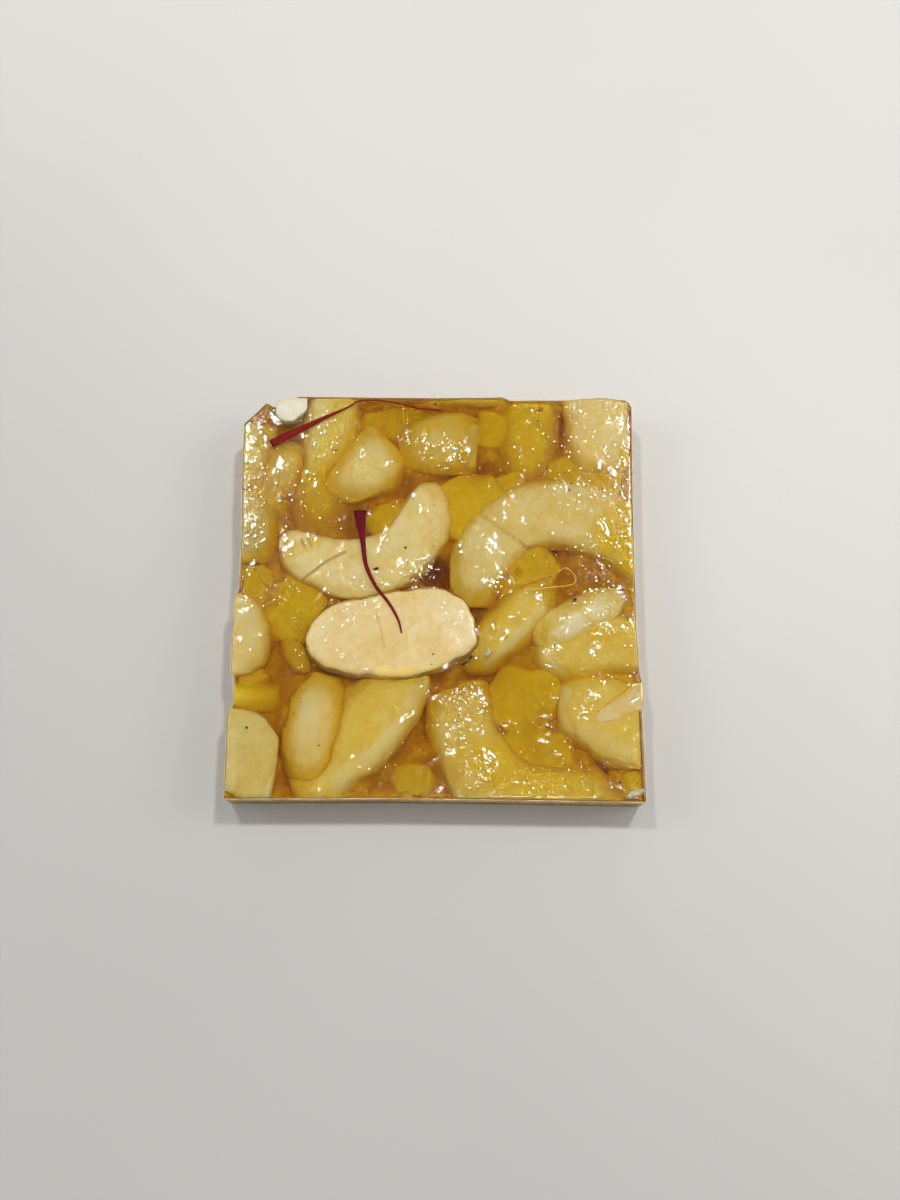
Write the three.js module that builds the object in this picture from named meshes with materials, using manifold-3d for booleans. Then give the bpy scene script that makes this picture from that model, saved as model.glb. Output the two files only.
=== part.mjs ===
// A square of cashew brittle: a rolled slab of amber caramel, cut while warm, with cashew halves and
// broken pieces set in it and two saffron threads lying on top.
// Millimetres, +Z up. The origin is the middle of the underside, +Y the far edge in the usual view.
import * as THREE from "three";
import { mergeVertices } from "three/addons/utils/BufferGeometryUtils.js";
import Module from "manifold-3d";

const wasm = await Module();
wasm.setup();

// Driving dimensions
const SIDE_X = 27.2; // the knife cuts to the left and right
const SIDE_Y = 28.5; // the knife cuts far and near
const CARAMEL_TOP = 5.6; // mean level of the caramel between the nuts
const WAVE_HEIGHT = 0.22; // swell of the caramel's surface, up and down
const WAVE_LENGTH = 15; // from one swell to the next
const WAVE_PHASE = { x: 1, y: -0.5 };
const WAVE_CELLS = 10; // grid steps along each side that carry the swell
const GAP = 0.3; // clearance between one piece and the next
const NUT_THICK = 4.6; // usual thickness of a half kernel
const NUT_BLUNT = 2.5; // exponent of a kernel's end: 2 is an ellipse, more is squarer
const NUT_SECTION = 3.4; // the same for its cross-section
const NUT_DOME = 0.3; // how its top falls towards its ends: 0 stays level, 1 falls as its width does
const NUT_RINGS = { plain: { stations: 9, around: 9 }, fine: { stations: 12, around: 10 } };
const THREAD_RINGS = { stations: 26, around: 6 };
const THREAD_LIFT = 0.32; // clearance under a saffron thread
const TRIM = 2; // what the knife takes off each side of the rolled sheet
const FAR = 80; // longer than anything here, for cutting blocks
const SAME_POINT = 1e-4; // closer than this, two corners are one

const CARAMEL_FINISH = { color: 0xb8741a, roughness: 0.15, metalness: 0 };
const NUT_FINISH = { color: 0xe3cb94, roughness: 0.45, metalness: 0 };
const SAFFRON_FINISH = { color: 0x7d1512, roughness: 0.6, metalness: 0 };

const radians = THREE.MathUtils.degToRad;

// The cut outline of the caramel, anticlockwise from the near left corner. The far left corner is chipped.
const OUTLINE = [
  [-27.35, -28.3], [-6, -28.2], [10, -28.3], [27.7, -28.8],
  [27.6, -14], [27.25, -4], [27.4, 12], [27.75, 27.2],
  [26.9, 28.2], [23.5, 28.6], [17.4, 28.2], [10.4, 28.2], [9.4, 28.7], [-1, 28.6], [-12, 28.7],
  [-19.6, 28.8], [-21.5, 28.3], [-23.1, 27.1], [-24.3, 27.8], [-27.25, 24.6],
  [-27.0, 8], [-27.3, -11], [-27.15, -17],
];

// Every nut that reaches the surface or a cut side. at is the middle of its spine, turn its heading in
// degrees, bend the degrees its spine curves towards its own left, crown the height of its top.
// taper makes its leading end wider, pitch lifts that end and roll its left flank. Each cut is a point
// and the heading that is cut away. proud is how far it stands out of the slab's cut side.
// A nut gives way to those listed before it.
const NUTS = [
  { name: "centre_half", at: [-6.1, -6.2], turn: 5, length: 23.4, width: 12.7, bend: 16, taper: 0.09,
    crown: 6.95, thick: 5.3, fine: true },
  { name: "kidney_half", at: [-7.9, 3.8], turn: 21, length: 30.6, width: 9.2, bend: 166, taper: 0.04,
    crown: 6.75, thick: 5.2, fine: true },
  { name: "bright_chip", at: [19.4, -3.6], turn: 29, length: 14, width: 5.2, bend: -14, taper: -0.08,
    crown: 6.9, thick: 3.4, pitch: 3 },
  { name: "side_crest", at: [25.2, -15.9], turn: 34, length: 8.4, width: 3.1, bend: 18,
    crown: 6.75, thick: 2.8, proud: 0.75 },
  { name: "near_left_block", at: [-25.6, -22.9], turn: 82, length: 12.8, width: 14, taper: 0.1,
    blunt: 4, crown: 6.3, proud: 0.75, cuts: [[-21.2, -22, -6], [-22.4, -18.6, 36], [-25, -27.3, 252]] },
  { name: "left_half", at: [-27.6, -6], turn: 96, length: 11.8, width: 10, taper: -0.08,
    crown: 6.35, proud: 0.55 },
  { name: "upright_half", at: [-16.6, -18.6], turn: 80, length: 15, width: 7.6, bend: -8, taper: -0.02,
    crown: 6.45, fine: true },
  { name: "angular_chip", at: [-10.2, 18.5], turn: 62, length: 12.2, width: 11, blunt: 3,
    crown: 6.45, cuts: [[-13.2, 19.6, 146], [-6.3, 21.3, 43], [-9.5, 14, 290]] },
  { name: "far_right_block", at: [23.1, 23.4], turn: 92, length: 12.4, width: 10.6,
    blunt: 4, crown: 6.35, pitch: 4, cuts: [[18.1, 22, 176]] },
  { name: "curl_upper", at: [15.2, 11.8], turn: 188, length: 38.4, width: 9.8, bend: 186, taper: -0.05,
    crown: 6.25, roll: -2, cuts: [[9.4, 8.7, 233]], fine: true },
  { name: "curl_lower", at: [15.2, 11.8], turn: 188, length: 38.4, width: 9.8, bend: 186, taper: -0.05,
    crown: 6.3, fine: true },
  { name: "frosted_block", at: [0.6, 21.6], turn: 8, length: 12.2, width: 9.6,
    blunt: 4, crown: 6.1, cuts: [[5.5, 21.5, -9], [1, 17.4, 262]] },
  { name: "far_left_chip", at: [-26, 20], turn: 82, length: 10.2, width: 6.8, taper: 0.12, blunt: 3,
    crown: 6.2, proud: 0.15, cuts: [[-24, 18.2, -16]] },
  { name: "leaning_chip", at: [-21.6, 17.8], turn: 76, length: 9.4, width: 4.9, blunt: 3,
    crown: 6.35, thick: 4 },
  { name: "near_curl", at: [7.8, -26.2], turn: -38, length: 33.4, width: 10.4, bend: 164,
    blunt: 3.2, crown: 6.25, pitch: -2, cuts: [[4.5, -12.9, 108]], fine: true },
  { name: "right_half", at: [24.3, -18.2], turn: 152, length: 16.6, width: 10.3, bend: 10, taper: 0.04,
    crown: 6.0, fine: true },
  { name: "slanted_half", at: [-10, -18.8], turn: 47, length: 24, width: 11.2, bend: 30,
    crown: 6.1, thick: 4.2, roll: -7, fine: true },
  { name: "finger", at: [9.8, -4.8], turn: 44, length: 18, width: 7.2, bend: 14, taper: 0.05,
    crown: 5.95, roll: -4 },
  { name: "right_block", at: [22, -7.6], turn: 184, length: 18.2, width: 9, taper: 0.04, blunt: 3,
    crown: 5.9 },
  { name: "left_frosted_chip", at: [-26, 9.6], turn: 86, length: 11, width: 8.2, blunt: 3,
    crown: 6.05, thick: 4 },
  { name: "long_half", at: [-15.9, 19.6], turn: 82, length: 22, width: 9.2, bend: -10, taper: 0.06,
    crown: 5.75, thick: 3.9, pitch: 3.2, fine: true },
  { name: "small_chip", at: [-19.2, -8.7], turn: 118, length: 5.6, width: 3.2,
    crown: 5.85, thick: 3 },
  { name: "left_sliver", at: [-23.7, 2.6], turn: 122, length: 4.4, width: 1.9,
    crown: 5.95, thick: 2.2 },
  { name: "far_sliver", at: [4.7, 29.4], turn: 0, length: 11, width: 4, blunt: 4,
    crown: 6.15 },
  { name: "sunk_far_half", at: [13.1, 23.8], turn: 84, length: 15.6, width: 9, taper: -0.05,
    crown: 4.9, thick: 3.6 },
  { name: "sunk_left_half", at: [-25.8, -14.9], turn: 8, length: 9.4, width: 4, blunt: 3,
    crown: 4.9, thick: 3.4 },
  { name: "sunk_right_half", at: [24.8, -27.4], turn: 40, length: 9, width: 6.4, blunt: 3,
    crown: 4.9, thick: 3.4 },
  { name: "corner_chip", at: [-20.9, 26.9], turn: 40, length: 5, width: 3.4, blunt: 3,
    crown: 5.9, thick: 3.2 },
];

// The two saffron threads: points along each on the surface, with the width there. The broad end comes first.
const THREADS = [
  { name: "saffron_centre", thick: 0.34, points: [
    [-10.7, 11.4, 1.75], [-10.5, 9.3, 1.25], [-10.2, 7, 0.72], [-9.7, 3.6, 0.58], [-8.4, 0.7, 0.5],
    [-6.4, -2, 0.42], [-5.2, -4.2, 0.34], [-4.7, -6.1, 0.2]] },
  { name: "saffron_far", thick: 0.3, points: [
    [-23.3, 21.5, 1.25], [-20.9, 22.9, 1.1], [-18, 24.4, 0.8], [-15.3, 25.8, 0.5], [-13, 26.9, 0.26],
    [-11, 28.05, 0.24], [-8.4, 28.15, 0.24], [-5.5, 27.7, 0.26], [-2.8, 27, 0.36], [0.6, 26.6, 0.3]] },
];

// A closed skin through rings of points, with a single point at each end.
function loft(firstPoint, rings, lastPoint) {
  const around = rings[0].length;
  const points = [firstPoint, ...rings.flat(), lastPoint];
  const last = points.length - 1;
  const at = (ring, i) => 1 + ring * around + (i % around);
  const faces = [];
  for (let i = 0; i < around; i++) {
    faces.push(0, at(0, i + 1), at(0, i));
    for (let ring = 0; ring + 1 < rings.length; ring++) {
      faces.push(at(ring, i), at(ring, i + 1), at(ring + 1, i));
      faces.push(at(ring, i + 1), at(ring + 1, i + 1), at(ring + 1, i));
    }
    faces.push(at(rings.length - 1, i), at(rings.length - 1, i + 1), last);
  }
  const geometry = new THREE.BufferGeometry().setFromPoints(points);
  geometry.setIndex(faces);
  return geometry;
}

// A point of a rounded section: t runs round it once, squareness 2 gives an ellipse.
function sectionPoint(t, squareness) {
  const power = 2 / squareness;
  const rounded = (v) => Math.sign(v) * Math.abs(v) ** power;
  return [rounded(Math.cos(t)), rounded(Math.sin(t))];
}

// A kernel about its own origin: a spine that bends in plan, wrapped in rounded sections. grow adds
// clearance all round.
function kernelGeometry(nut, grow) {
  const { taper = 0, fine, blunt = NUT_BLUNT, thick = NUT_THICK } = nut;
  const { stations, around } = fine ? NUT_RINGS.fine : NUT_RINGS.plain;
  const length = nut.length + 2 * grow;
  const bend = radians(nut.bend ?? 0) * (length / nut.length);
  const spine = (s) => {
    if (bend === 0) return { x: (s * length) / 2, y: 0, angle: 0 };
    const angle = (s * bend) / 2;
    const radius = length / bend;
    return { x: radius * Math.sin(angle), y: radius * (1 - Math.cos(angle)), angle };
  };
  const ring = (s) => {
    const { x, y, angle } = spine(s);
    const fullness = (1 - Math.abs(s) ** blunt) ** (1 / blunt);
    const halfWidth = (nut.width / 2 + grow) * fullness * (1 + taper * s);
    const halfThick = (thick / 2 + grow) * fullness ** NUT_DOME;
    return Array.from({ length: around }, (_, i) => {
      const [u, v] = sectionPoint((2 * Math.PI * i) / around, NUT_SECTION);
      const side = u * halfWidth;
      return new THREE.Vector3(x - side * Math.sin(angle), y + side * Math.cos(angle), v * halfThick);
    });
  };
  const end = (s) => new THREE.Vector3(spine(s).x, spine(s).y, 0);
  const rings = [];
  for (let i = 1; i < stations; i++) rings.push(ring(-Math.cos((Math.PI * i) / stations)));
  return loft(end(-1), rings, end(1));
}

function solid(geometry) {
  const bare = new THREE.BufferGeometry().setAttribute("position", geometry.getAttribute("position"));
  bare.setIndex(geometry.index);
  const merged = mergeVertices(bare, SAME_POINT);
  return new wasm.Manifold(new wasm.Mesh({
    numProp: 3,
    vertProperties: new Float32Array(merged.getAttribute("position").array),
    triVerts: new Uint32Array(merged.index.array),
  }));
}

// A block that fills everything beyond a plan point in one heading, as a knife would take off.
function knifeBlock([x, y, heading], grow) {
  const block = new THREE.BoxGeometry(FAR, FAR, FAR);
  block.translate(FAR / 2 + grow, 0, 0);
  block.rotateZ(radians(heading));
  block.translate(x, y, 0);
  return solid(block);
}

// The straight cut sides of the slab for one nut, moved out by how far it stands proud.
function sideBlock(proud, grow) {
  const out = proud + grow;
  return solid(new THREE.BoxGeometry(2 * (SIDE_X + out), 2 * (SIDE_Y + out), FAR));
}

// A nut in its place, cut by its own knife lines and by the slab's sides.
function nutSolid(nut, grow = 0) {
  const { crown, thick = NUT_THICK, pitch = 0, roll = 0, cuts = [], proud = 0 } = nut;
  const geometry = kernelGeometry(nut, grow);
  geometry.rotateX(radians(roll));
  geometry.rotateY(radians(-pitch));
  geometry.rotateZ(radians(nut.turn));
  geometry.translate(nut.at[0], nut.at[1], crown - thick / 2);
  let shape = solid(geometry).intersect(sideBlock(proud, grow));
  for (const cut of cuts) shape = shape.subtract(knifeBlock(cut, grow));
  return shape;
}

function largestBody(shape) {
  return shape.decompose().reduce((best, body) => (body.volume() > best.volume() ? body : best));
}

// The rolled slab before the nuts are pressed in: a gently swelling sheet inside the cut outline.
function slabSolid() {
  const size = 2 * (SIDE_Y + TRIM);
  const sheet = new THREE.BoxGeometry(size, size, CARAMEL_TOP, WAVE_CELLS, WAVE_CELLS, 1);
  sheet.translate(0, 0, CARAMEL_TOP / 2);
  const place = sheet.getAttribute("position");
  const turn = (2 * Math.PI) / WAVE_LENGTH;
  for (let i = 0; i < place.count; i++) {
    if (place.getZ(i) < CARAMEL_TOP / 2) continue;
    const along = Math.sin(turn * place.getX(i) + WAVE_PHASE.x);
    const across = Math.cos(turn * place.getY(i) + WAVE_PHASE.y);
    place.setZ(i, CARAMEL_TOP + WAVE_HEIGHT * along * across);
  }
  const outline = new THREE.Shape(OUTLINE.map(([x, y]) => new THREE.Vector2(x, y)));
  const prism = new THREE.ExtrudeGeometry(outline, { depth: FAR, bevelEnabled: false });
  prism.translate(0, 0, -FAR / 2);
  return solid(sheet).intersect(solid(prism));
}

function meshOf(shape, name, finish) {
  const { vertProperties, triVerts } = shape.getMesh();
  const geometry = new THREE.BufferGeometry();
  geometry.setAttribute("position", new THREE.BufferAttribute(vertProperties, 3));
  geometry.setIndex(new THREE.BufferAttribute(triVerts, 1));
  geometry.computeVertexNormals();
  const mesh = new THREE.Mesh(geometry, new THREE.MeshStandardMaterial(finish));
  mesh.name = name;
  return mesh;
}

// A thread draped over what lies under it: flat strips of the given widths along a smooth path.
function threadGeometry(thread, surface) {
  const { stations, around } = THREAD_RINGS;
  const down = new THREE.Vector3(0, 0, -1);
  const ray = new THREE.Raycaster();
  const plan = new THREE.CatmullRomCurve3(thread.points.map(([x, y]) => new THREE.Vector3(x, y, 0)));
  const widths = new THREE.CatmullRomCurve3(thread.points.map(([, , w], i) => new THREE.Vector3(i, w, 0)));
  const topAt = (x, y) => {
    ray.set(new THREE.Vector3(x, y, FAR), down);
    return ray.intersectObject(surface, true)[0]?.point.z ?? CARAMEL_TOP;
  };
  const path = [];
  for (let i = 0; i <= stations; i++) {
    const point = plan.getPoint(i / stations);
    const half = widths.getPoint(i / stations).y / 2;
    const tangent = plan.getTangent(i / stations);
    const side = new THREE.Vector3(-tangent.y, tangent.x, 0).normalize();
    const under = [-1, 0, 1].map((k) => topAt(point.x + k * half * side.x, point.y + k * half * side.y));
    path.push({ point, side, half, level: Math.max(...under) + THREAD_LIFT + thread.thick / 2 });
  }
  const level = (i) => Math.max(...path.slice(Math.max(0, i - 1), i + 2).map((p) => p.level));
  const rings = path.map(({ point, side, half }, i) =>
    Array.from({ length: around }, (_, k) => {
      const [u, v] = sectionPoint((2 * Math.PI * k) / around, 2);
      return new THREE.Vector3(point.x, point.y, level(i) + (v * thread.thick) / 2)
        .addScaledVector(side, u * half);
    }));
  const middle = (ring) => ring.reduce((sum, p) => sum.add(p), new THREE.Vector3()).divideScalar(around);
  return loft(middle(rings[0]), rings, middle(rings[rings.length - 1]));
}

const brittle = new THREE.Group();

const grown = NUTS.map((nut) => nutSolid(nut, GAP));
NUTS.forEach((nut, i) => {
  const shape = grown.slice(0, i).reduce((left, above) => left.subtract(above), nutSolid(nut));
  brittle.add(meshOf(largestBody(shape), "cashew_" + nut.name, NUT_FINISH));
});

const caramel = grown.reduce((left, pocket) => left.subtract(pocket), slabSolid());
brittle.add(meshOf(largestBody(caramel), "caramel", CARAMEL_FINISH));

brittle.updateMatrixWorld(true);
const threads = THREADS.map((thread) =>
  meshOf(solid(threadGeometry(thread, brittle)), thread.name, SAFFRON_FINISH));
brittle.add(...threads);

export default brittle;
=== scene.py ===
"""Cashew brittle: a square tile of clear amber caramel with cashews set in it and saffron threads on top.

Each kernel is dressed from a copy of its own solid, the caramel is poured over them as one clear body, and
the saffron is laid on what shows. Lengths are in millimetres, and n * MM where Blender takes metres.
"""
import logging
import math
from collections.abc import Iterator, Sequence
from contextlib import contextmanager
from dataclasses import dataclass, field
from enum import Enum

import bpy
import numpy as np
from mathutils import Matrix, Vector, noise
from mathutils.bvhtree import BVHTree


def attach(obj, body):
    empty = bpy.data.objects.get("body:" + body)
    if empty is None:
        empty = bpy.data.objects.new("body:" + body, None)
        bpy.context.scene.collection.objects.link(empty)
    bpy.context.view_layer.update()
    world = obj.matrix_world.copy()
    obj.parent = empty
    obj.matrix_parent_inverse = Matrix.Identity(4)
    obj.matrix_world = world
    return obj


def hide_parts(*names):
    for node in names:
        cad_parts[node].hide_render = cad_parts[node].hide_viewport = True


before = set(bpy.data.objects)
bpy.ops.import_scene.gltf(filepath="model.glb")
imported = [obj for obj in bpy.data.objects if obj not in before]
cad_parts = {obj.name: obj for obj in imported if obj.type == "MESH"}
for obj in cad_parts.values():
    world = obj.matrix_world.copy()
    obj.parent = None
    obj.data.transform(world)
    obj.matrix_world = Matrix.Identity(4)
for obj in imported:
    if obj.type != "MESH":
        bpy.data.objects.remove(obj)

MM = 0.001
BODY = "root"
NOISE_SEED = 7
EDGE_STEPS = 400
# How far out in x and y a nut reaches when the knife has cut it
CUT_REACH = (27.0, 27.9)
# The level that heights are felt for from above, and the height where nothing is found
ABOVE = 20.0
NOT_THERE = -99.0
log = logging.getLogger("brittle")

Point = tuple[float, float]
Colour = tuple[float, float, float]
Patch = tuple[tuple[Point, ...], float, float]


# Bench tools


def put_down() -> None:
    """Leave nothing selected."""
    for other in list(bpy.context.selected_objects):
        other.select_set(False)


def take(obj: bpy.types.Object) -> None:
    """Select one object alone and make it active."""
    put_down()
    obj.select_set(True)
    bpy.context.view_layer.objects.active = obj


def named(name: str) -> bpy.types.Object:
    """Name the object that was just added, with its mesh, and give it."""
    obj = bpy.context.object
    obj.name = obj.data.name = name
    return obj


@contextmanager
def editing(obj: bpy.types.Object) -> Iterator[None]:
    """Open one mesh with all of it selected, and close it afterwards."""
    take(obj)
    bpy.ops.object.mode_set(mode="EDIT")
    bpy.ops.mesh.select_all(action="SELECT")
    yield
    bpy.ops.object.mode_set(mode="OBJECT")


def apply_modifier(obj: bpy.types.Object, kind: str, **settings: object) -> None:
    """Add one modifier, set it and apply it.

    Args:
        obj: The mesh object to change.
        kind: Blender's name of the modifier's type.
        settings: Values for the modifier's own fields.
    """
    take(obj)
    modifier = obj.modifiers.new(kind.title(), kind)
    for key, value in settings.items():
        setattr(modifier, key, value)
    bpy.ops.object.modifier_apply(modifier=modifier.name)


def corner_rows(mesh: bpy.types.Mesh, what: str) -> np.ndarray:
    """Read three numbers for each corner of a mesh."""
    rows = np.empty(len(mesh.vertices) * 3, np.float32)
    mesh.vertices.foreach_get(what, rows)
    return rows.reshape(-1, 3).astype(float)


def coordinates(mesh: bpy.types.Mesh) -> np.ndarray:
    """Give a mesh's corners as an array of rows, in millimetres."""
    return corner_rows(mesh, "co") / MM


def set_coordinates(mesh: bpy.types.Mesh, points: np.ndarray) -> None:
    """Put a mesh's corners at the given rows of millimetres."""
    mesh.vertices.foreach_set("co", (points * MM).astype(np.float32).ravel())
    mesh.update()


def normals(mesh: bpy.types.Mesh) -> np.ndarray:
    """Give the way that each corner of a mesh faces."""
    return corner_rows(mesh, "normal")


def set_attribute(mesh: bpy.types.Mesh, name: str, values: np.ndarray) -> None:
    """Store one number for each corner of a mesh."""
    layer = mesh.attributes.get(name) or mesh.attributes.new(name, "FLOAT", "POINT")
    layer.data.foreach_set("value", values.astype(np.float32))


def leave_plain(mesh: bpy.types.Mesh, *marks: str) -> None:
    """Store nought under these names for each corner of a mesh."""
    for mark in marks:
        set_attribute(mesh, mark, np.zeros(len(mesh.vertices)))


def cloud(x: float, y: float, size: float, seed: float, octaves: int) -> float:
    """Read a cloudy pattern of about -1 to 1 at one place in plan.

    Args:
        x: The place to the right.
        y: The place away from the viewer.
        size: How far apart the pattern's swells lie.
        seed: A number that picks the pattern.
        octaves: How many finer layers it has.

    Returns:
        The pattern's value.
    """
    return noise.fractal(Vector((x / size, y / size, seed)), 1.0, 2.0, octaves)


def turned(plan: np.ndarray, degrees: float) -> np.ndarray:
    """Turn rows of x and y about the origin."""
    turn = math.radians(degrees)
    return plan @ np.array([[math.cos(turn), math.sin(turn)], [-math.sin(turn), math.cos(turn)]])


def blur(values: np.ndarray, cells: float) -> np.ndarray:
    """Soften a grid of values.

    Args:
        values: The grid.
        cells: How far a value spreads, in grid steps.

    Returns:
        The softened grid, of the same size.
    """
    reach = max(1, int(3 * cells))
    weights = np.exp(-0.5 * (np.arange(-reach, reach + 1) / cells) ** 2)
    weights /= weights.sum()
    padded = np.pad(values, reach, mode="edge")
    rows = np.apply_along_axis(np.convolve, 0, padded, weights, "valid")
    return np.apply_along_axis(np.convolve, 1, rows, weights, "valid")


def ease(values: np.ndarray, low: float, high: float) -> np.ndarray:
    """Rise smoothly from 0 at low to 1 at high."""
    t = np.clip((values - low) / (high - low), 0, 1)
    return t * t * (3 - 2 * t)


def distance_to_path(points: np.ndarray, path: Sequence[Point]) -> np.ndarray:
    """Measure how far points lie from a broken line in plan.

    Args:
        points: Rows that start with x and y.
        path: The corners of the line.

    Returns:
        One distance for each row.
    """
    best = np.full(len(points), np.inf)
    for start, end in zip(path, path[1:]):
        a, b = np.array(start), np.array(end)
        along = np.clip(((points[:, :2] - a) @ (b - a)) / max((b - a) @ (b - a), 1e-9), 0, 1)
        nearest = a + along[:, None] * (b - a)
        best = np.minimum(best, np.linalg.norm(points[:, :2] - nearest, axis=1))
    return best


def patches(points: np.ndarray, spots: Sequence[Patch]) -> np.ndarray:
    """Say how strongly spots of colour lie on points.

    Args:
        points: Rows that start with x and y.
        spots: The spots, each a line in plan with its reach and its strength.

    Returns:
        A share of 0 to 1 for each row.
    """
    share = np.zeros(len(points))
    for path, reach, most in spots:
        away = distance_to_path(points, path) / reach
        share = np.maximum(share, most * (1 - ease(away, 0.3, 1.0)))
    return share


def smooth_path(corners: Sequence[Sequence[float]], steps: int) -> np.ndarray:
    """Run a smooth curve through corners.

    Args:
        corners: Rows of numbers, two or more.
        steps: How many points the curve gets between two corners.

    Returns:
        The rows along the curve.
    """
    rows = np.array(corners, float)
    padded = np.vstack([2 * rows[0] - rows[1], rows, 2 * rows[-1] - rows[-2]])
    out = []
    for i in range(len(rows) - 1):
        p0, p1, p2, p3 = padded[i:i + 4]
        for t in np.linspace(0, 1, steps, endpoint=False):
            out.append(0.5 * (2 * p1 + (p2 - p0) * t + (2 * p0 - 5 * p1 + 4 * p2 - p3) * t ** 2
                              + (3 * p1 - p0 - 3 * p2 + p3) * t ** 3))
    return np.array(out + [rows[-1]])


def close_sheet(obj: bpy.types.Object, foot: float) -> None:
    """Pull a sheet's rim down into sides and fill its underside.

    Args:
        obj: The sheet that becomes a body.
        foot: The level of its underside, in millimetres.
    """
    well_below = -20 * MM
    with editing(obj):
        bpy.ops.mesh.select_mode(type="EDGE")
        bpy.ops.mesh.select_all(action="DESELECT")
        bpy.ops.mesh.select_non_manifold()
        bpy.ops.mesh.extrude_region_move(TRANSFORM_OT_translate={"value": (0, 0, well_below)})
    points = coordinates(obj.data)
    points[points[:, 2] < -1, 2] = foot
    set_coordinates(obj.data, points)
    bpy.ops.object.mode_set(mode="EDIT")
    bpy.ops.mesh.edge_face_add()
    bpy.ops.mesh.select_all(action="SELECT")
    bpy.ops.mesh.normals_make_consistent(inside=False)
    bpy.ops.mesh.select_mode(type="VERT")
    bpy.ops.object.mode_set(mode="OBJECT")


class Graph:
    """One node tree, with short ways to add nodes and join them."""

    def __init__(self, tree: bpy.types.NodeTree, space: str = "Object") -> None:
        """Start on an empty tree, with the coordinates that its patterns lie in."""
        self.tree = tree
        tree.nodes.clear()
        self.place = self.add("TexCoord").outputs[space]

    def add(self, kind: str, inputs: dict | None = None, **settings: object) -> bpy.types.Node:
        """Add a node.

        Args:
            kind: The node's type without the words ShaderNode.
            inputs: Values or sockets for its inputs, by name or number.
            settings: Values for its own fields.

        Returns:
            The node.
        """
        prefix = "" if kind.startswith("NodeGroup") else "ShaderNode"
        node = self.tree.nodes.new(prefix + kind)
        for key, value in settings.items():
            setattr(node, key, value)
        for key, value in (inputs or {}).items():
            self.feed(node.inputs[key], value)
        return node

    def feed(self, socket: bpy.types.NodeSocket, value: object) -> None:
        """Set a socket to a value, or join it to another socket."""
        if isinstance(value, bpy.types.NodeSocket):
            self.tree.links.new(value, socket)
        else:
            socket.default_value = value

    def math(self, operation: str, *values: object) -> bpy.types.NodeSocket:
        """Add one sum and give its result."""
        return self.add("Math", dict(enumerate(values)), operation=operation).outputs[0]

    def times(self, a: object, b: object) -> bpy.types.NodeSocket:
        """Multiply two values."""
        return self.math("MULTIPLY", a, b)

    def plus(self, a: object, b: object) -> bpy.types.NodeSocket:
        """Add two values."""
        return self.math("ADD", a, b)

    def mix(self, factor: object, a: object, b: object, blend: str = "MIX") -> bpy.types.NodeSocket:
        """Blend two colours and give the result."""
        node = self.add("Mix", None, data_type="RGBA", blend_type=blend)
        for socket, value in ((0, factor), (6, a), (7, b)):
            self.feed(node.inputs[socket], value)
        return node.outputs[2]

    def ramp(self, value: object, low: float, high: float, start: float = 0.0,
             end: float = 1.0) -> bpy.types.NodeSocket:
        """Map a value from one range to another, smoothly and within it."""
        inputs = {0: value, 1: low, 2: high, 3: start, 4: end}
        return self.add("MapRange", inputs, interpolation_type="SMOOTHSTEP").outputs[0]

    def texture(self, scale: float, detail: float = 2.0, rough: float = 0.5) -> bpy.types.NodeSocket:
        """Add a cloudy pattern and give its value."""
        inputs = {"Vector": self.place, "Scale": scale, "Detail": detail, "Roughness": rough}
        return self.add("TexNoise", inputs).outputs[0]

    def dots(self, scale: float) -> bpy.types.NodeSocket:
        """Add a pattern of dots and give the distance from each one's middle."""
        inputs = {"Vector": self.place, "Scale": scale, "Randomness": 1.0}
        return self.add("TexVoronoi", inputs).outputs["Distance"]

    def mark(self, name: str) -> bpy.types.NodeSocket:
        """Read a number that is stored on the mesh."""
        return self.add("Attribute", None, attribute_name=name).outputs["Fac"]

    def bump(self, height: object, rise: float, strength: float = 1.0) -> bpy.types.NodeSocket:
        """Turn a height into a normal, with its rise in millimetres."""
        return self.add("Bump", {"Strength": strength, "Distance": rise * MM, "Height": height}).outputs[0]


class Paint(Graph):
    """The node tree of one material, with its shader joined to its output."""

    def __init__(self, name: str) -> None:
        """Start a material of that name."""
        self.material = bpy.data.materials.new(name)
        self.material.use_nodes = True
        super().__init__(self.material.node_tree)
        self.shader = self.add("BsdfPrincipled")
        self.output = self.add("OutputMaterial", {"Surface": self.shader.outputs[0]})

    def shade(self, sockets: dict[str, object]) -> None:
        """Set or join the shader's own sockets, by name."""
        for name, value in sockets.items():
            self.feed(self.shader.inputs[name], value)


class Effect(Graph):
    """A node group that several materials share, with named inputs and outputs."""

    def __init__(self, name: str, takes: dict[str, str], gives: dict[str, str]) -> None:
        """Start a group.

        Args:
            name: The group's name.
            takes: Its inputs, each a name with Color or Float.
            gives: Its outputs, in the same way.
        """
        super().__init__(bpy.data.node_groups.new(name, "ShaderNodeTree"))
        for way, sockets in (("INPUT", takes), ("OUTPUT", gives)):
            for socket, kind in sockets.items():
                self.tree.interface.new_socket(socket, in_out=way, socket_type=f"NodeSocket{kind}")
        self.given = self.add("NodeGroupInput").outputs
        self.results = self.add("NodeGroupOutput").inputs

    def give(self, results: dict[str, object]) -> bpy.types.NodeTree:
        """Join the group's outputs, by name, and give the group."""
        for name, value in results.items():
            self.feed(self.results[name], value)
        return self.tree


def dress(obj: bpy.types.Object, material: bpy.types.Material, slot: str, *nodes: str) -> None:
    """Args:
        obj: The piece.
        material: What it is made of.
        slot: Not used.
        nodes: The solids that it stands for.
    """
    obj.data.materials.clear()
    obj.data.materials.append(material)
    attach(obj, BODY)
    if nodes:
        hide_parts(*nodes)
    obj.data.calc_loop_triangles()
    log.info("%s: %d triangles", obj.name, len(obj.data.loop_triangles))


# Finishes


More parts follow.
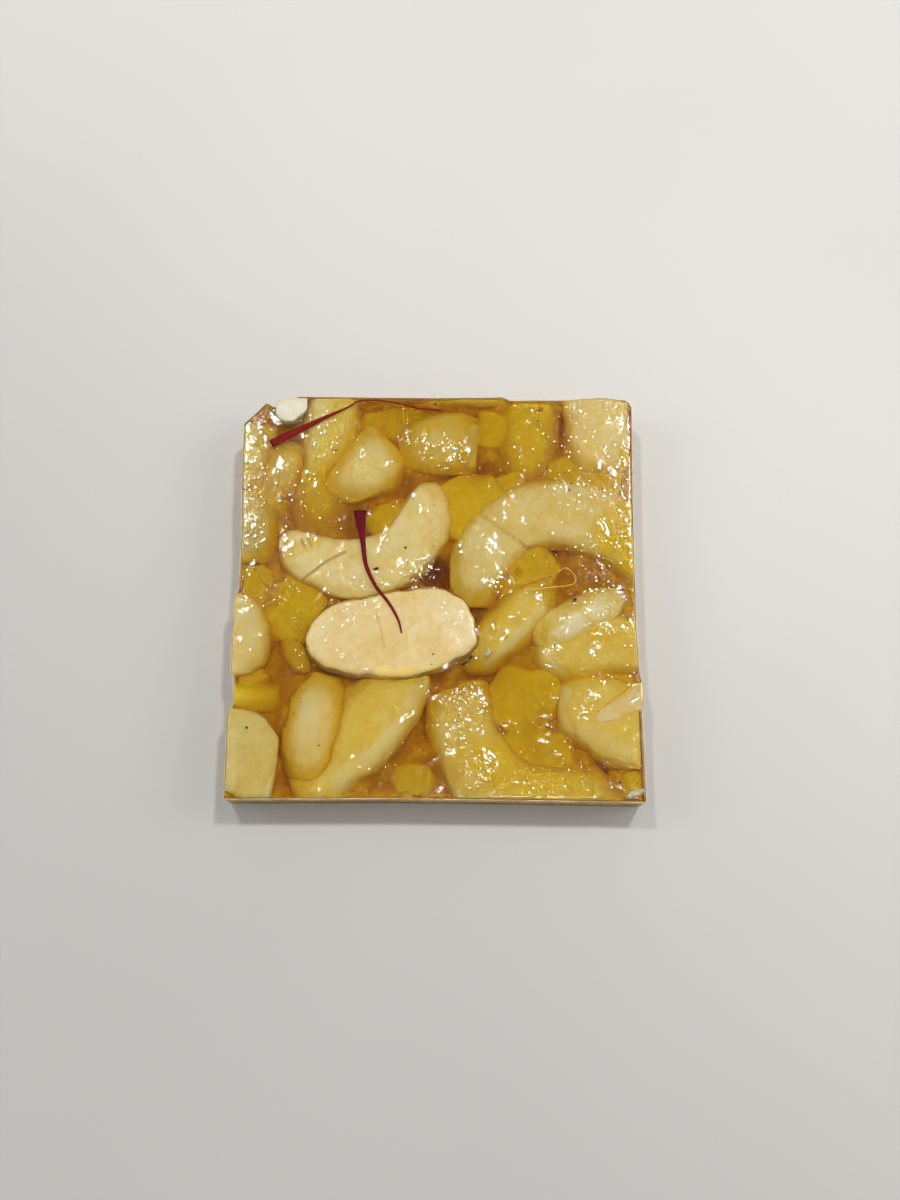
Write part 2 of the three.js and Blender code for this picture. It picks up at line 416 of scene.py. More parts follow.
class Flesh(Enum):
    """The colours that a cashew shows, from bare to soaked with syrup."""

    CREAM = (0.60, 0.458, 0.20)
    KIDNEY = (0.99, 0.885, 0.55)
    PINK = (0.99, 0.86, 0.53)
    ROSY = (0.98, 0.83, 0.50)
    WHITE = (0.985, 0.92, 0.70)
    CHALK = (0.60, 0.58, 0.50)
    BEIGE = (0.955, 0.845, 0.51)
    DULL = (0.87, 0.765, 0.37)
    SMOKED = (0.76, 0.66, 0.32)
    OLIVE = (0.87, 0.70, 0.21)
    GOLD = (0.945, 0.795, 0.255)
    AMBER = (0.98, 0.845, 0.07)
    BROWN = (0.77, 0.50, 0.04)


@dataclass(frozen=True)
class CashewFinish:
    """Cashew flesh: waxy, mottled, golden where syrup soaked in, with freckles and pale specks that are
    partly painted glints.
    """

    flesh: Flesh
    roughness: float = 0.42
    soak_depth: float = 0.8
    soaked: Colour = (0.96, 0.84, 0.36)
    shade: Colour = (0.97, 0.90, 0.68)
    freckle: Colour = (0.42, 0.22, 0.05)
    golden: Colour = (0.88, 0.645, 0.045)
    pale: Colour = (0.96, 0.90, 0.66)
    glaze_roughness: float = 0.14

    def material(self) -> bpy.types.Material:
        """Give this finish's material, made once."""
        name = f"cashew_{self.flesh.name.lower()}"
        return bpy.data.materials.get(name) or self._make(name)

    def _make(self, name: str) -> bpy.types.Material:
        """Build the material round the flesh that all cashews share.

        Args:
            name: The material's name.

        Returns:
            The material.
        """
        paint = Paint(name)
        bare = self.flesh in (Flesh.CREAM, Flesh.CHALK)
        inputs = {"Flesh": (*self.flesh.value, 1), "SpecksAndGlints": 0.1 if bare else 0.55}
        effect = bpy.data.node_groups.get("cashew_flesh") or self._effect()
        flesh = paint.add("Group", inputs, node_tree=effect).outputs
        paint.shade({"Base Color": flesh["Colour"], "Roughness": flesh["Roughness"],
                     "Specular IOR Level": 0.4 if bare else 0.04,
                     "Normal": paint.bump(flesh["Height"], 0.12, 0.5),
                     "Coat Weight": flesh["Glaze"], "Coat Roughness": self.glaze_roughness,
                     "Coat Normal": paint.bump(paint.texture(700, 2), 0.22)})
        return paint.material

    def _effect(self) -> bpy.types.NodeTree:
        """Build the flesh that all cashews share.

        Returns:
            The node group.
        """
        effect = Effect("cashew_flesh", {"Flesh": "Color", "SpecksAndGlints": "Float"},
                        {"Colour": "Color", "Roughness": "Float", "Height": "Float", "Glaze": "Float"})
        flesh = effect.given["Flesh"]
        broad = effect.ramp(effect.texture(230, 3, 0.6), 0.35, 0.7)
        fine = effect.ramp(effect.texture(950, 4, 0.6), 0.42, 0.72)
        stain = effect.texture(330, 3, 0.6)
        shade = (*self.shade, 1)
        colour = effect.mix(broad, flesh, effect.mix(1.0, flesh, shade, "MULTIPLY"))
        colour = effect.mix(effect.times(fine, 0.9), colour, shade, "MULTIPLY")
        for mark, tone in (("gold", self.golden), ("pale", self.pale)):
            patch = effect.mark(mark)
            edge = effect.plus(patch, effect.math("MULTIPLY_ADD", stain, 0.9, -0.45))
            share = effect.times(effect.ramp(edge, -0.1, 1.1), effect.ramp(patch, 0.0, 0.5))
            colour = effect.mix(share, colour, (*tone, 1))
        sparse = effect.ramp(effect.texture(260, 1), 0.54, 0.62)
        freckles = effect.times(effect.ramp(effect.dots(620.0), 0.18, 0.08), sparse)
        colour = effect.mix(effect.times(freckles, 0.3), colour, (*self.freckle, 1))
        # Pale specks: tiny bubbles in the film, partly painted glints.
        strewn = effect.ramp(effect.texture(410, 2), 0.45, 0.55)
        specks_and_glints = effect.times(effect.ramp(effect.dots(1200.0), 0.26, 0.14), strewn)
        colour = effect.mix(effect.times(specks_and_glints, effect.given["SpecksAndGlints"]), colour, (*self.pale, 1))
        kept = effect.math("EXPONENT", effect.times(effect.mark("depth"), -1 / self.soak_depth))
        colour = effect.mix(kept, effect.mix(1.0, colour, (*self.soaked, 1), "MULTIPLY"), colour)
        # Painted shade in the cracks and folds, darkened towards the freckle brown.
        colour = effect.mix(effect.times(effect.mark("crack_shade"), 0.75), colour, (*self.freckle, 1))
        glaze = effect.mark("glaze")
        smear = effect.plus(glaze, effect.math("MULTIPLY_ADD", stain, 1.2, -0.6))
        return effect.give({
            "Colour": colour,
            "Roughness": effect.ramp(broad, 0, 1, self.roughness - 0.08, self.roughness + 0.1),
            "Height": effect.plus(effect.texture(520, 4, 0.6), effect.times(fine, 0.3)),
            "Glaze": effect.times(effect.ramp(smear, 0.2, 0.8), glaze)})


@dataclass(frozen=True)
class CaramelFinish:
    """Hard clear caramel: amber in depth, glossy and finely puckered on top, frosted where it was cut."""

    name: str = "caramel_clear"
    density: float = 700.0
    passed: Colour = (0.885, 0.80, 0.10)
    tint: Colour = (1.0, 0.985, 0.95)
    gloss: float = 0.13
    frost: float = 0.5
    ior: float = 1.5

    def material(self) -> bpy.types.Material:
        """Build the material.

        Returns:
            The material.
        """
        paint = Paint(self.name)
        haze = paint.ramp(paint.texture(240, 3), 0.5, 0.75, 0, 0.03)
        polish = paint.plus(paint.ramp(paint.mark("cut"), 0, 1, self.gloss, self.frost), haze)
        pucker = paint.texture(1150, 1)
        ripple = paint.texture(600, 1)
        zone = paint.mark("pucker")
        pimples = paint.ramp(paint.dots(1250.0), 0.42, 0.0, 0, 0.115)
        height = paint.plus(paint.times(ripple, 0.7), paint.times(pucker, 0.5))
        height = paint.times(height, paint.math("MULTIPLY_ADD", zone, 0.8, 0.05))
        strewn = paint.times(paint.ramp(ripple, 0.40, 0.53), paint.ramp(zone, 0.08, 0.8, 0.5, 1.0))
        height = paint.plus(height, paint.times(pimples, strewn))
        paint.shade({"Base Color": (*self.tint, 1), "Roughness": polish, "Transmission Weight": 1.0,
                     "IOR": self.ior, "Normal": paint.bump(height, 0.36)})
        depth = paint.add("VolumeAbsorption", {"Color": (*self.passed, 1), "Density": self.density})
        paint.feed(paint.output.inputs["Volume"], depth.outputs[0])
        return paint.material


@dataclass(frozen=True)
class SaffronFinish:
    """Dry saffron: one colour at the broad end, another at the thin one, with darker streaks."""

    name: str
    broad: Colour
    thin: Colour
    streaked: Colour = (0.6, 0.35, 0.3)

    def material(self) -> bpy.types.Material:
        """Build the material.

        Returns:
            The material.
        """
        paint = Paint(self.name)
        effect = bpy.data.node_groups.get("saffron_fibre") or self._effect()
        inputs = {"Broad": (*self.broad, 1), "Thin": (*self.thin, 1)}
        fibre = paint.add("Group", inputs, node_tree=effect).outputs
        paint.shade({"Base Color": fibre["Colour"], "Roughness": 0.65, "Specular IOR Level": 0.08,
                     "Normal": paint.bump(fibre["Height"], 0.05, 0.5)})
        return paint.material

    def _effect(self) -> bpy.types.NodeTree:
        """Build the streaks that all threads share.

        Returns:
            The node group.
        """
        effect = Effect("saffron_fibre", {"Broad": "Color", "Thin": "Color"},
                        {"Colour": "Color", "Height": "Float"})
        streak = effect.ramp(effect.texture(1400, 3), 0.35, 0.7)
        colour = effect.mix(effect.mark("along"), effect.given["Broad"], effect.given["Thin"])
        colour = effect.mix(effect.times(streak, 0.6), colour, (*self.streaked, 1), "MULTIPLY")
        return effect.give({"Colour": colour, "Height": streak})


@dataclass(frozen=True)
class GrainFinish:
    """Small crumbs: dull, darker in their pits."""

    name: str
    colour: Colour
    pit: Colour = (0.55, 0.55, 0.55)

    def material(self) -> bpy.types.Material:
        """Build the material.

        Returns:
            The material.
        """
        paint = Paint(self.name)
        effect = bpy.data.node_groups.get("crumb_pits") or self._effect()
        crumb = paint.add("Group", {"Crumb": (*self.colour, 1)}, node_tree=effect).outputs
        paint.shade({"Base Color": crumb["Colour"], "Roughness": 0.5})
        return paint.material

    def _effect(self) -> bpy.types.NodeTree:
        """Build the pits that all crumbs share.

        Returns:
            The node group.
        """
        effect = Effect("crumb_pits", {"Crumb": "Color"}, {"Colour": "Color"})
        crumb = effect.given["Crumb"]
        pits = effect.ramp(effect.texture(2600, 3), 0.35, 0.7)
        deep = effect.mix(1.0, crumb, (*self.pit, 1), "MULTIPLY")
        return effect.give({"Colour": effect.mix(pits, deep, crumb)})


@dataclass(frozen=True)
class BloomFinish:
    """Dust of sugar and nut on the cut sides: pale, dull, worn through in spots, and faded towards the foot
    as painted shade.
    """

    name: str = "cut_bloom"
    pale: Colour = (0.86, 0.77, 0.56)
    warm: Colour = (0.76, 0.60, 0.32)

    def material(self) -> bpy.types.Material:
        """Build the material.

        Returns:
            The material.
        """
        paint = Paint(self.name)
        warmth = paint.ramp(paint.texture(300, 3), 0.35, 0.7)
        worn = paint.ramp(paint.texture(420, 3, 0.6), 0.36, 0.6, 0.25, 0.85)
        # Painted shade at the foot: the skin fades out downwards so that the darker caramel shows on the
        # lower side.
        height = paint.ramp(paint.mark("rise"), 0.6, 0.96, 0.06, 1.0)
        paint.shade({"Base Color": paint.mix(warmth, (*self.pale, 1), (*self.warm, 1)),
                     "Alpha": paint.times(worn, height), "Roughness": 0.75})
        return paint.material


# Kernels


class Cover(Enum):
    """How the caramel lies on a kernel."""

    BARE = "stands out of the caramel"
    FILM = "under a film that follows it"
    SUNK = "deep enough to leave the surface flat"


@dataclass
class Kernel:
    """One cashew piece, dressed from a copy of its node.

    Attributes:
        film: How thick the caramel lies over it.
        grain: The size of the cells that it is rounded in.
        rounding: How many times it is smoothed.
        plump: How far it swells after that.
        rolled: The level that the rolling pin pressed it to, which lift then raises.
        uneven: How far its outline strays.
        shoulder: How far its upper face falls away at the outline.
        soaked_rim: How golden its outline is.
        fused: The kernel that it shares an outline with.
        skin: How far it stays inside the caramel's cut edges.
        lumps: How high its lumps are.
        golden, pale, glaze: Patches of colour or gloss, each a line in plan with its reach and strength.
    """

    name: str
    flesh: Flesh
    cover: Cover = Cover.FILM
    film: float = 0.08
    grain: float = 0.28
    rounding: int = 36
    crease: float = 0.75
    plump: float = 0.42
    rolled: float = 6.08
    lift: float = 0.0
    uneven: float = 0.5
    shoulder: float = 0.75
    soaked_rim: float = 0.7
    fused: str = ""
    skin: float = 0.13
    lumps: float = 0.14
    cracks: tuple[tuple[Point, ...], ...] = ()
    crack_width: float = 0.3
    crack_depth: float = 0.28
    golden: tuple[Patch, ...] = ()
    pale: tuple[Patch, ...] = ()
    glaze: tuple[Patch, ...] = ()
    obj: bpy.types.Object | None = field(default=None, repr=False)

    @property
    def node(self) -> str:
        """Name the solid that this kernel is made from."""
        return f"cashew_{self.name}"

    def build(self) -> None:
        """Copy the node's mesh, close it, round it off and give it a kernel's uneven surface."""
        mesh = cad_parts[self.node].data.copy()
        mesh.name = f"kernel_{self.name}"
        self.obj = bpy.data.objects.new(mesh.name, mesh)
        bpy.context.collection.objects.link(self.obj)
        with editing(self.obj):
            bpy.ops.mesh.remove_doubles(threshold=0.01 * MM)
            bpy.ops.mesh.tris_convert_to_quads(face_threshold=math.radians(35),
                                               shape_threshold=math.radians(70))
            bpy.ops.mesh.select_mode(type="EDGE")
            bpy.ops.mesh.select_all(action="DESELECT")
            bpy.ops.mesh.edges_select_sharp(sharpness=math.radians(70))
            bpy.ops.transform.edge_crease(value=self.crease)
            bpy.ops.mesh.select_mode(type="VERT")
        apply_modifier(self.obj, "SUBSURF", levels=2, render_levels=2)
        apply_modifier(self.obj, "REMESH", mode="VOXEL", voxel_size=self.grain * MM, use_smooth_shade=True)
        apply_modifier(self.obj, "SMOOTH", factor=0.5, iterations=self.rounding)
        apply_modifier(self.obj, "DISPLACE", strength=self.plump * MM, mid_level=0.0)
        self._roll()
        for size, height in ((3.4, self.lumps), (1.2, 0.28 * self.lumps)):
            texture = bpy.data.textures.new(f"lumps_{self.name}", "CLOUDS")
            texture.noise_scale = size * MM
            apply_modifier(self.obj, "DISPLACE", texture=texture, texture_coords="LOCAL",
                           strength=height * MM, mid_level=0.45)
        self._hold_cuts()
        self._crack()

    def _roll(self) -> None:
        """Make the outline uneven and press the crown down to where the rolling pin left it."""
        points = coordinates(self.obj.data)
        for row in points:
            broad = noise.noise_vector(Vector((row[0] / 4, row[1] / 4, row[2] / 9)))
            fine = noise.noise_vector(Vector((row[0] / 1.5, row[1] / 1.5, row[2] / 5)))
            row[:2] += self.uneven * np.array((broad + 0.45 * fine)[:2])
        over = points[:, 2] - self.rolled
        points[:, 2] = 0.5 * (points[:, 2] + self.rolled - np.sqrt(over * over + 0.05)) + self.lift
        set_coordinates(self.obj.data, points)

    def _hold_cuts(self) -> None:
        """Keep the kernel within its solid's reach in plan, and square off what the knife cut."""
        points = coordinates(self.obj.data)
        faced = normals(self.obj.data)
        solid = coordinates(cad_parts[self.node].data)
        low, high = solid[:, :2].min(0), solid[:, :2].max(0)
        for axis, side, reach in ((0, -1, -low[0]), (0, 1, high[0]), (1, -1, -low[1]), (1, 1, high[1])):
            if reach > CUT_REACH[axis]:
                near = ease(side * points[:, axis], reach - 2.2, reach - 0.6)
                points[:, axis] += 1.3 * near * np.where(side * faced[:, axis] > 0.1, faced[:, axis], 0)
        points[:, :2] = np.clip(points[:, :2], low, high)
        if self.cover is not Cover.BARE:
            near, far, left, right = CaramelSlab().edges(EDGE_STEPS, EDGE_STEPS)
            x, y = points[:, 0], points[:, 1]
            points[:, 0] = np.clip(x, np.interp(y, *left.T[::-1]) + self.skin,
                                   np.interp(y, *right.T[::-1]) - self.skin)
            points[:, 1] = np.clip(y, np.interp(x, *near.T) + self.skin, np.interp(x, *far.T) - self.skin)
        set_coordinates(self.obj.data, points)

    def _crack(self) -> None:
        """Sink the kernel's cracks into its upper face and mark them for painted shade."""
        points = coordinates(self.obj.data)
        mark = np.zeros(len(points))
        upper = points[:, 2] > points[:, 2].max() - 1.8
        for path in self.cracks:
            near = np.clip(1 - distance_to_path(points, path) / self.crack_width, 0, 1) * upper
            mark = np.maximum(mark, near)
        points[:, 2] -= self.crack_depth * mark ** 1.5
        set_coordinates(self.obj.data, points)
        set_attribute(self.obj.data, "crack_shade", mark)
        for layer, spots in (("pale", self.pale), ("glaze", self.glaze)):
            set_attribute(self.obj.data, layer, patches(points, spots))

    def slope(self, top: "CaramelTop") -> None:
        """Let the upper face fall away towards the outline, but not where the knife cut.

        Args:
            top: The caramel's upper face.
        """
        points = coordinates(self.obj.data)
        crown = points[:, 2].max()
        fall = self.shoulder * top.rim(self.name, points) ** 1.5
        points[:, 2] -= fall * ease(points[:, 2], crown - 2.6, crown - 0.8)
        set_coordinates(self.obj.data, points)

    def finish(self, top: "CaramelTop") -> None:
        """Mark the piece's depth and its golden patches, and dress it.

        Args:
            top: The caramel's upper face.
        """
        points = top.mark_depth(self.obj)
        rim = self.soaked_rim * top.rim(self.name, points)
        set_attribute(self.obj.data, "gold", np.maximum(patches(points, self.golden), rim))
        dress(self.obj, CashewFinish(self.flesh).material(), "cashew", self.node)


CURL_CRACK = ((6.4, 10.8), (9.0, 9.0), (12.2, 6.6))
KERNELS = (
    Kernel("centre_half", Flesh.CREAM, Cover.BARE, grain=0.22, rounding=2, plump=0.12, rolled=6.1, lift=0.45,
           uneven=0.5, shoulder=0.0, soaked_rim=0.0,
           cracks=(((-8.2, -3.5), (-7.6, -5.5), (-7.1, -8.0)),), crack_width=0.2, crack_depth=0.08,
           pale=((((-3.0, -10.4), (-3.4, -6.0), (-1.4, -4.6)), 1.0, 0.22),
                 # Painted highlight: this pale patch stands for glare on the right end.
                 (((1.6, -4.0), (2.4, -7.0), (3.6, -5.6)), 3.6, 0.26)),
           golden=((((-7.5, -11.6), (1.0, -11.4)), 1.6, 0.35),),
           glaze=((((-12.6, -3.6), (-9.0, -2.6)), 3.0, 0.9),
                  (((1.6, -3.0), (4.4, -5.4), (4.2, -8.6)), 2.2, 1.0),
                  (((-15.0, -5.6), (-13.4, -9.0), (-10.0, -10.8)), 1.4, 0.9))),
    Kernel("kidney_half", Flesh.KIDNEY, grain=0.22, rounding=8, plump=0.2, rolled=6.0, lift=0.28,
           shoulder=0.25, soaked_rim=0.2,
           cracks=(((-18.4, 1.6), (-15.2, 4.2), (-12.5, 5.6)), ((-18.8, 7.4), (-18.2, 6.3)),
                   ((-17.8, 7.5), (-17.3, 6.4))), crack_width=0.24, crack_depth=0.2,
           golden=((((-20.5, 5.6), (-17.0, 6.6)), 1.8, 0.5),)),
    Kernel("bright_chip", Flesh.WHITE, grain=0.2, rounding=10, plump=0.5, rolled=6.4, lumps=0.45,
           soaked_rim=0.35,
           golden=((((14.2, -6.2), (17.6, -2.8), (21.0, -1.2)), 1.8, 0.6),
                   (((20.6, -4.2), (21.4, -3.4)), 1.0, 0.5)),
           pale=((((16.6, -7.0), (20.0, -5.2)), 2.2, 0.8), (((22.4, -2.6), (25.0, -0.6)), 2.4, 0.9))),
    Kernel("side_crest", Flesh.ROSY, grain=0.18, rounding=8, plump=0.3, rolled=6.5, lumps=0.6, soaked_rim=0.1,
           shoulder=0.3, golden=((((20.4, -16.4), (23.6, -14.4), (26.6, -12.6)), 1.5, 0.9),),
           pale=((((21.6, -18.0), (24.6, -16.4), (28.0, -13.9)), 1.2, 0.35),)),
    Kernel("near_left_block", Flesh.DULL, rounding=5, plump=0.2, rolled=6.0, lift=0.15, uneven=0.25,
           shoulder=0.1, soaked_rim=0.1, pale=(
               (((-27.0, -19.5), (-27.0, -27.0)), 1.0, 0.4), (((-22.0, -27.6), (-20.5, -25.0)), 1.4, 0.5))),
    Kernel("left_half", Flesh.BEIGE, rounding=12, plump=0.3, rolled=6.0, lift=0.15, shoulder=0.3,
           soaked_rim=0.3, pale=((((-26.5, 0.0), (-25.0, -3.0)), 1.6, 0.6),)),
    Kernel("upright_half", Flesh.BEIGE, rounding=30, rolled=6.0, lift=0.1, uneven=0.8, soaked_rim=0.75,
           golden=((((-13.0, -16.0), (-13.4, -21.0)), 1.5, 0.5),),
           pale=((((-17.2, -15.0), (-17.0, -20.0)), 2.0, 0.45),)),
    Kernel("angular_chip", Flesh.KIDNEY, rounding=6, plump=0.4, rolled=6.05, uneven=0.15, soaked_rim=0.5,
           golden=((((-4.4, 18.6), (-5.0, 14.5)), 1.8, 0.5),),
           pale=((((-9.0, 22.0), (-8.6, 20.5)), 1.6, 0.7),)),
    Kernel("far_right_block", Flesh.PINK, rounding=16, plump=0.3, rolled=6.05, lift=0.1, shoulder=0.5,
           soaked_rim=0.5,
           golden=((((26.6, 17.0), (26.8, 21.0)), 1.6, 0.7), (((18.6, 24.0), (18.4, 27.6)), 1.2, 0.5))),
    Kernel("curl_upper", Flesh.BEIGE, plump=0.85, soaked_rim=0.45, fused="curl_lower",
           cracks=(CURL_CRACK,), crack_width=0.22, crack_depth=0.14,
           golden=((((26.5, 11.0), (24.5, 8.0), (25.5, 4.0)), 4.6, 1.0),),
           pale=((((17.0, 15.0), (20.0, 15.3), (24.5, 14.4)), 1.5, 0.9),)),
    Kernel("curl_lower", Flesh.BEIGE, plump=0.85, soaked_rim=0.35, fused="curl_upper",
           cracks=(CURL_CRACK,), crack_width=0.22, crack_depth=0.14,
           golden=((((6.0, -1.6), (8.6, 0.4)), 2.4, 0.6),),
           # Pale patches: whiter flesh, and on the left edge partly a painted highlight.
           pale=((((5.6, 8.6), (4.6, 5.0)), 1.6, 0.6), (((8.2, 7.2), (8.6, 3.4)), 2.0, 0.5))),
    Kernel("frosted_block", Flesh.OLIVE, plump=0.6, rolled=5.95, shoulder=0.85, soaked_rim=0.8,
           pale=((((5.4, 24.0), (5.2, 18.6)), 1.1, 0.7), (((0.2, 22.8), (1.8, 20.0)), 2.2, 0.35)),
           golden=((((-3.6, 24.0), (0.0, 24.4)), 1.6, 0.5),)),
    Kernel("far_left_chip", Flesh.DULL, uneven=0.7, pale=((((-26.6, 23.6), (-23.4, 23.2)), 1.6, 0.45),),
           golden=((((-26.6, 21.0), (-26.4, 19.6)), 1.4, 0.6),)),
    Kernel("leaning_chip", Flesh.DULL, uneven=0.8, golden=((((-24.0, 14.6), (-22.0, 13.4)), 2.0, 0.6),),
           pale=((((-20.4, 19.6), (-21.4, 16.4)), 1.7, 0.55),)),
    Kernel("near_curl", Flesh.OLIVE,
           golden=((((7.6, -23.0), (10.0, -25.4), (18.5, -25.6)), 4.4, 1.0),
                   (((3.0, -23.0), (5.0, -21.0)), 1.6, 0.5)),
           pale=((((0.6, -15.0), (0.6, -21.0)), 1.2, 0.35),)),
    Kernel("right_half", Flesh.GOLD, plump=1.0, shoulder=0.45, soaked_rim=0.35,
           pale=((((17.4, -14.0), (16.4, -16.6), (17.6, -19.6)), 1.3, 0.75),
                 (((20.0, -19.6), (25.0, -22.8)), 2.4, 0.4))),
    Kernel("slanted_half", Flesh.GOLD,
           golden=((((-11.0, -13.6), (-8.0, -13.4), (-10.0, -18.0)), 2.6, 0.35),),
           pale=((((-1.8, -14.0), (-3.6, -18.6), (-7.6, -23.0), (-12.4, -26.4)), 3.2, 0.5),), shoulder=0.35,
           soaked_rim=0.1),
    Kernel("finger", Flesh.GOLD, plump=0.6, golden=((((8.0, -4.0), (9.6, -1.4)), 2.2, 0.6),),
           pale=((((7.0, -10.4), (10.6, -6.8), (14.6, -2.8)), 1.1, 0.6),)),
    Kernel("right_block", Flesh.GOLD, plump=0.75, soaked_rim=0.4,
           golden=((((23.0, -6.0), (26.0, -8.6)), 2.4, 0.5),),
           pale=((((15.0, -7.8), (15.2, -10.0), (17.0, -12.2)), 1.6, 0.8),)),
    Kernel("left_frosted_chip", Flesh.SMOKED, uneven=0.9, golden=((((-26.6, 4.0), (-24.0, 4.4)), 2.0, 0.6),)),
    Kernel("long_half", Flesh.GOLD, pale=((((-19.6, 28.0), (-16.0, 27.0), (-18.0, 21.0)), 2.2, 0.45),),
           golden=((((-16.0, 9.0), (-16.4, 13.0), (-14.2, 15.6)), 5.4, 1.0),)),
    Kernel("small_chip", Flesh.OLIVE, grain=0.2, rounding=10, plump=0.3,
           golden=((((-19.6, -10.6), (-18.0, -10.0)), 1.8, 0.9),)),
    Kernel("left_sliver", Flesh.BEIGE, grain=0.15, rounding=5, plump=0.25),
    Kernel("far_sliver", Flesh.BEIGE, grain=0.2, rounding=5, plump=0.25),
    Kernel("sunk_far_half", Flesh.AMBER, Cover.SUNK, plump=0.5, lift=0.2),
    Kernel("sunk_left_half", Flesh.AMBER, Cover.SUNK, plump=0.7, lift=0.6),
    Kernel("sunk_right_half", Flesh.AMBER, Cover.SUNK),
    Kernel("corner_chip", Flesh.CHALK, Cover.BARE, grain=0.2, rounding=3, plump=0.3, rolled=5.6, lift=0.75,
           shoulder=0.0, soaked_rim=0.0),
)


@dataclass
class SunkKernel:
    """A piece of cashew wholly sunk in the caramel: a rounded block that the nuts above partly hide."""

    name: str
    middle: Point
    size: Point
    turn: float = 0.0
    crown: float = 4.5
    thick: float = 4.2
    uneven: float = 1.1
    flesh: Flesh = Flesh.AMBER
    low: Point = (-26.7, -27.8)
    high: Point = (26.9, 27.8)
    obj: bpy.types.Object | None = field(default=None, repr=False)

    def build(self) -> None:
        """Round off a block, make it uneven and set it in its place."""
        put_down()
        bpy.ops.mesh.primitive_cube_add(size=1, scale=(self.size[0] * MM, self.size[1] * MM, self.thick * MM))
        self.obj = named(f"sunk_{self.name}")
        bpy.ops.object.transform_apply(location=False, rotation=False, scale=True)
        apply_modifier(self.obj, "SUBSURF", levels=4, render_levels=4)
        points = coordinates(self.obj.data)
        points *= np.array([*self.size, self.thick]) / np.ptp(points, axis=0)
        place = Vector((*self.middle, 0))
        for row in points:
            row += self.uneven * Vector(noise.noise_vector(Vector(row) / 4.0 + place))
            row += 0.25 * self.uneven * Vector(noise.noise_vector(Vector(row) / 1.5 + place))
        spun = turned(points[:, :2], self.turn)
        points[:, :2] = np.clip(spun + np.array(self.middle), self.low, self.high)
        over = points[:, 2] - points[:, 2].max() + 0.9
        points[:, 2] = np.maximum(self.crown + 0.5 * (over - np.sqrt(over * over + 0.2)), 0.6)
        set_coordinates(self.obj.data, points)
        take(self.obj)
        bpy.ops.object.shade_smooth()
        leave_plain(self.obj.data, "crack_shade", "gold", "pale", "glaze")

    def finish(self, top: "CaramelTop") -> None:
        """Mark the piece's depth and dress it."""
        top.mark_depth(self.obj)
        dress(self.obj, CashewFinish(self.flesh).material(), "cashew")


SUNK = (
    SunkKernel("under_saffron", (-6.2, 9.8), (8.0, 8.0), 35, 5.2),
    SunkKernel("triangle", (5.2, 12.4), (12.0, 10.0), -10, 5.4),
    SunkKernel("beside_triangle", (10.4, 15.4), (6.0, 5.0), 10, 4.9),
    SunkKernel("in_curl", (12.0, 3.4), (10.0, 11.0), 10, 5.3),
    SunkKernel("under_far_block", (22.0, 16.6), (14.0, 7.0), -4, 5.2),
    SunkKernel("left_upper", (-24.8, 13.0), (8.0, 8.0), 20, 5.3),
    SunkKernel("left_middle", (-19.6, -1.8), (9.0, 11.0), -15, 5.3),
    SunkKernel("near_upper", (12.0, -15.0), (11.0, 9.6), 5, 5.2),
    SunkKernel("near_lower", (12.8, -22.2), (12.0, 7.0), -6, 5.0),
    SunkKernel("left_lower", (-25.6, -12.2), (6.0, 4.6), 8, 5.1),
    SunkKernel("near_edge", (-2.8, -26.4), (6.0, 7.0), 10, 4.9),
    SunkKernel("right_middle", (23.4, -12.8), (10.0, 5.6), 5, 5.0),
    SunkKernel("left_low_amber", (-24.8, 1.0), (7.0, 7.0), 10, 5.0),
    SunkKernel("far_middle", (-6.0, 25.2), (10.0, 6.0), 0, 4.7),
    SunkKernel("far_gap", (7.8, 24.4), (6.0, 7.0), 0, 5.0),
)


# Caramel


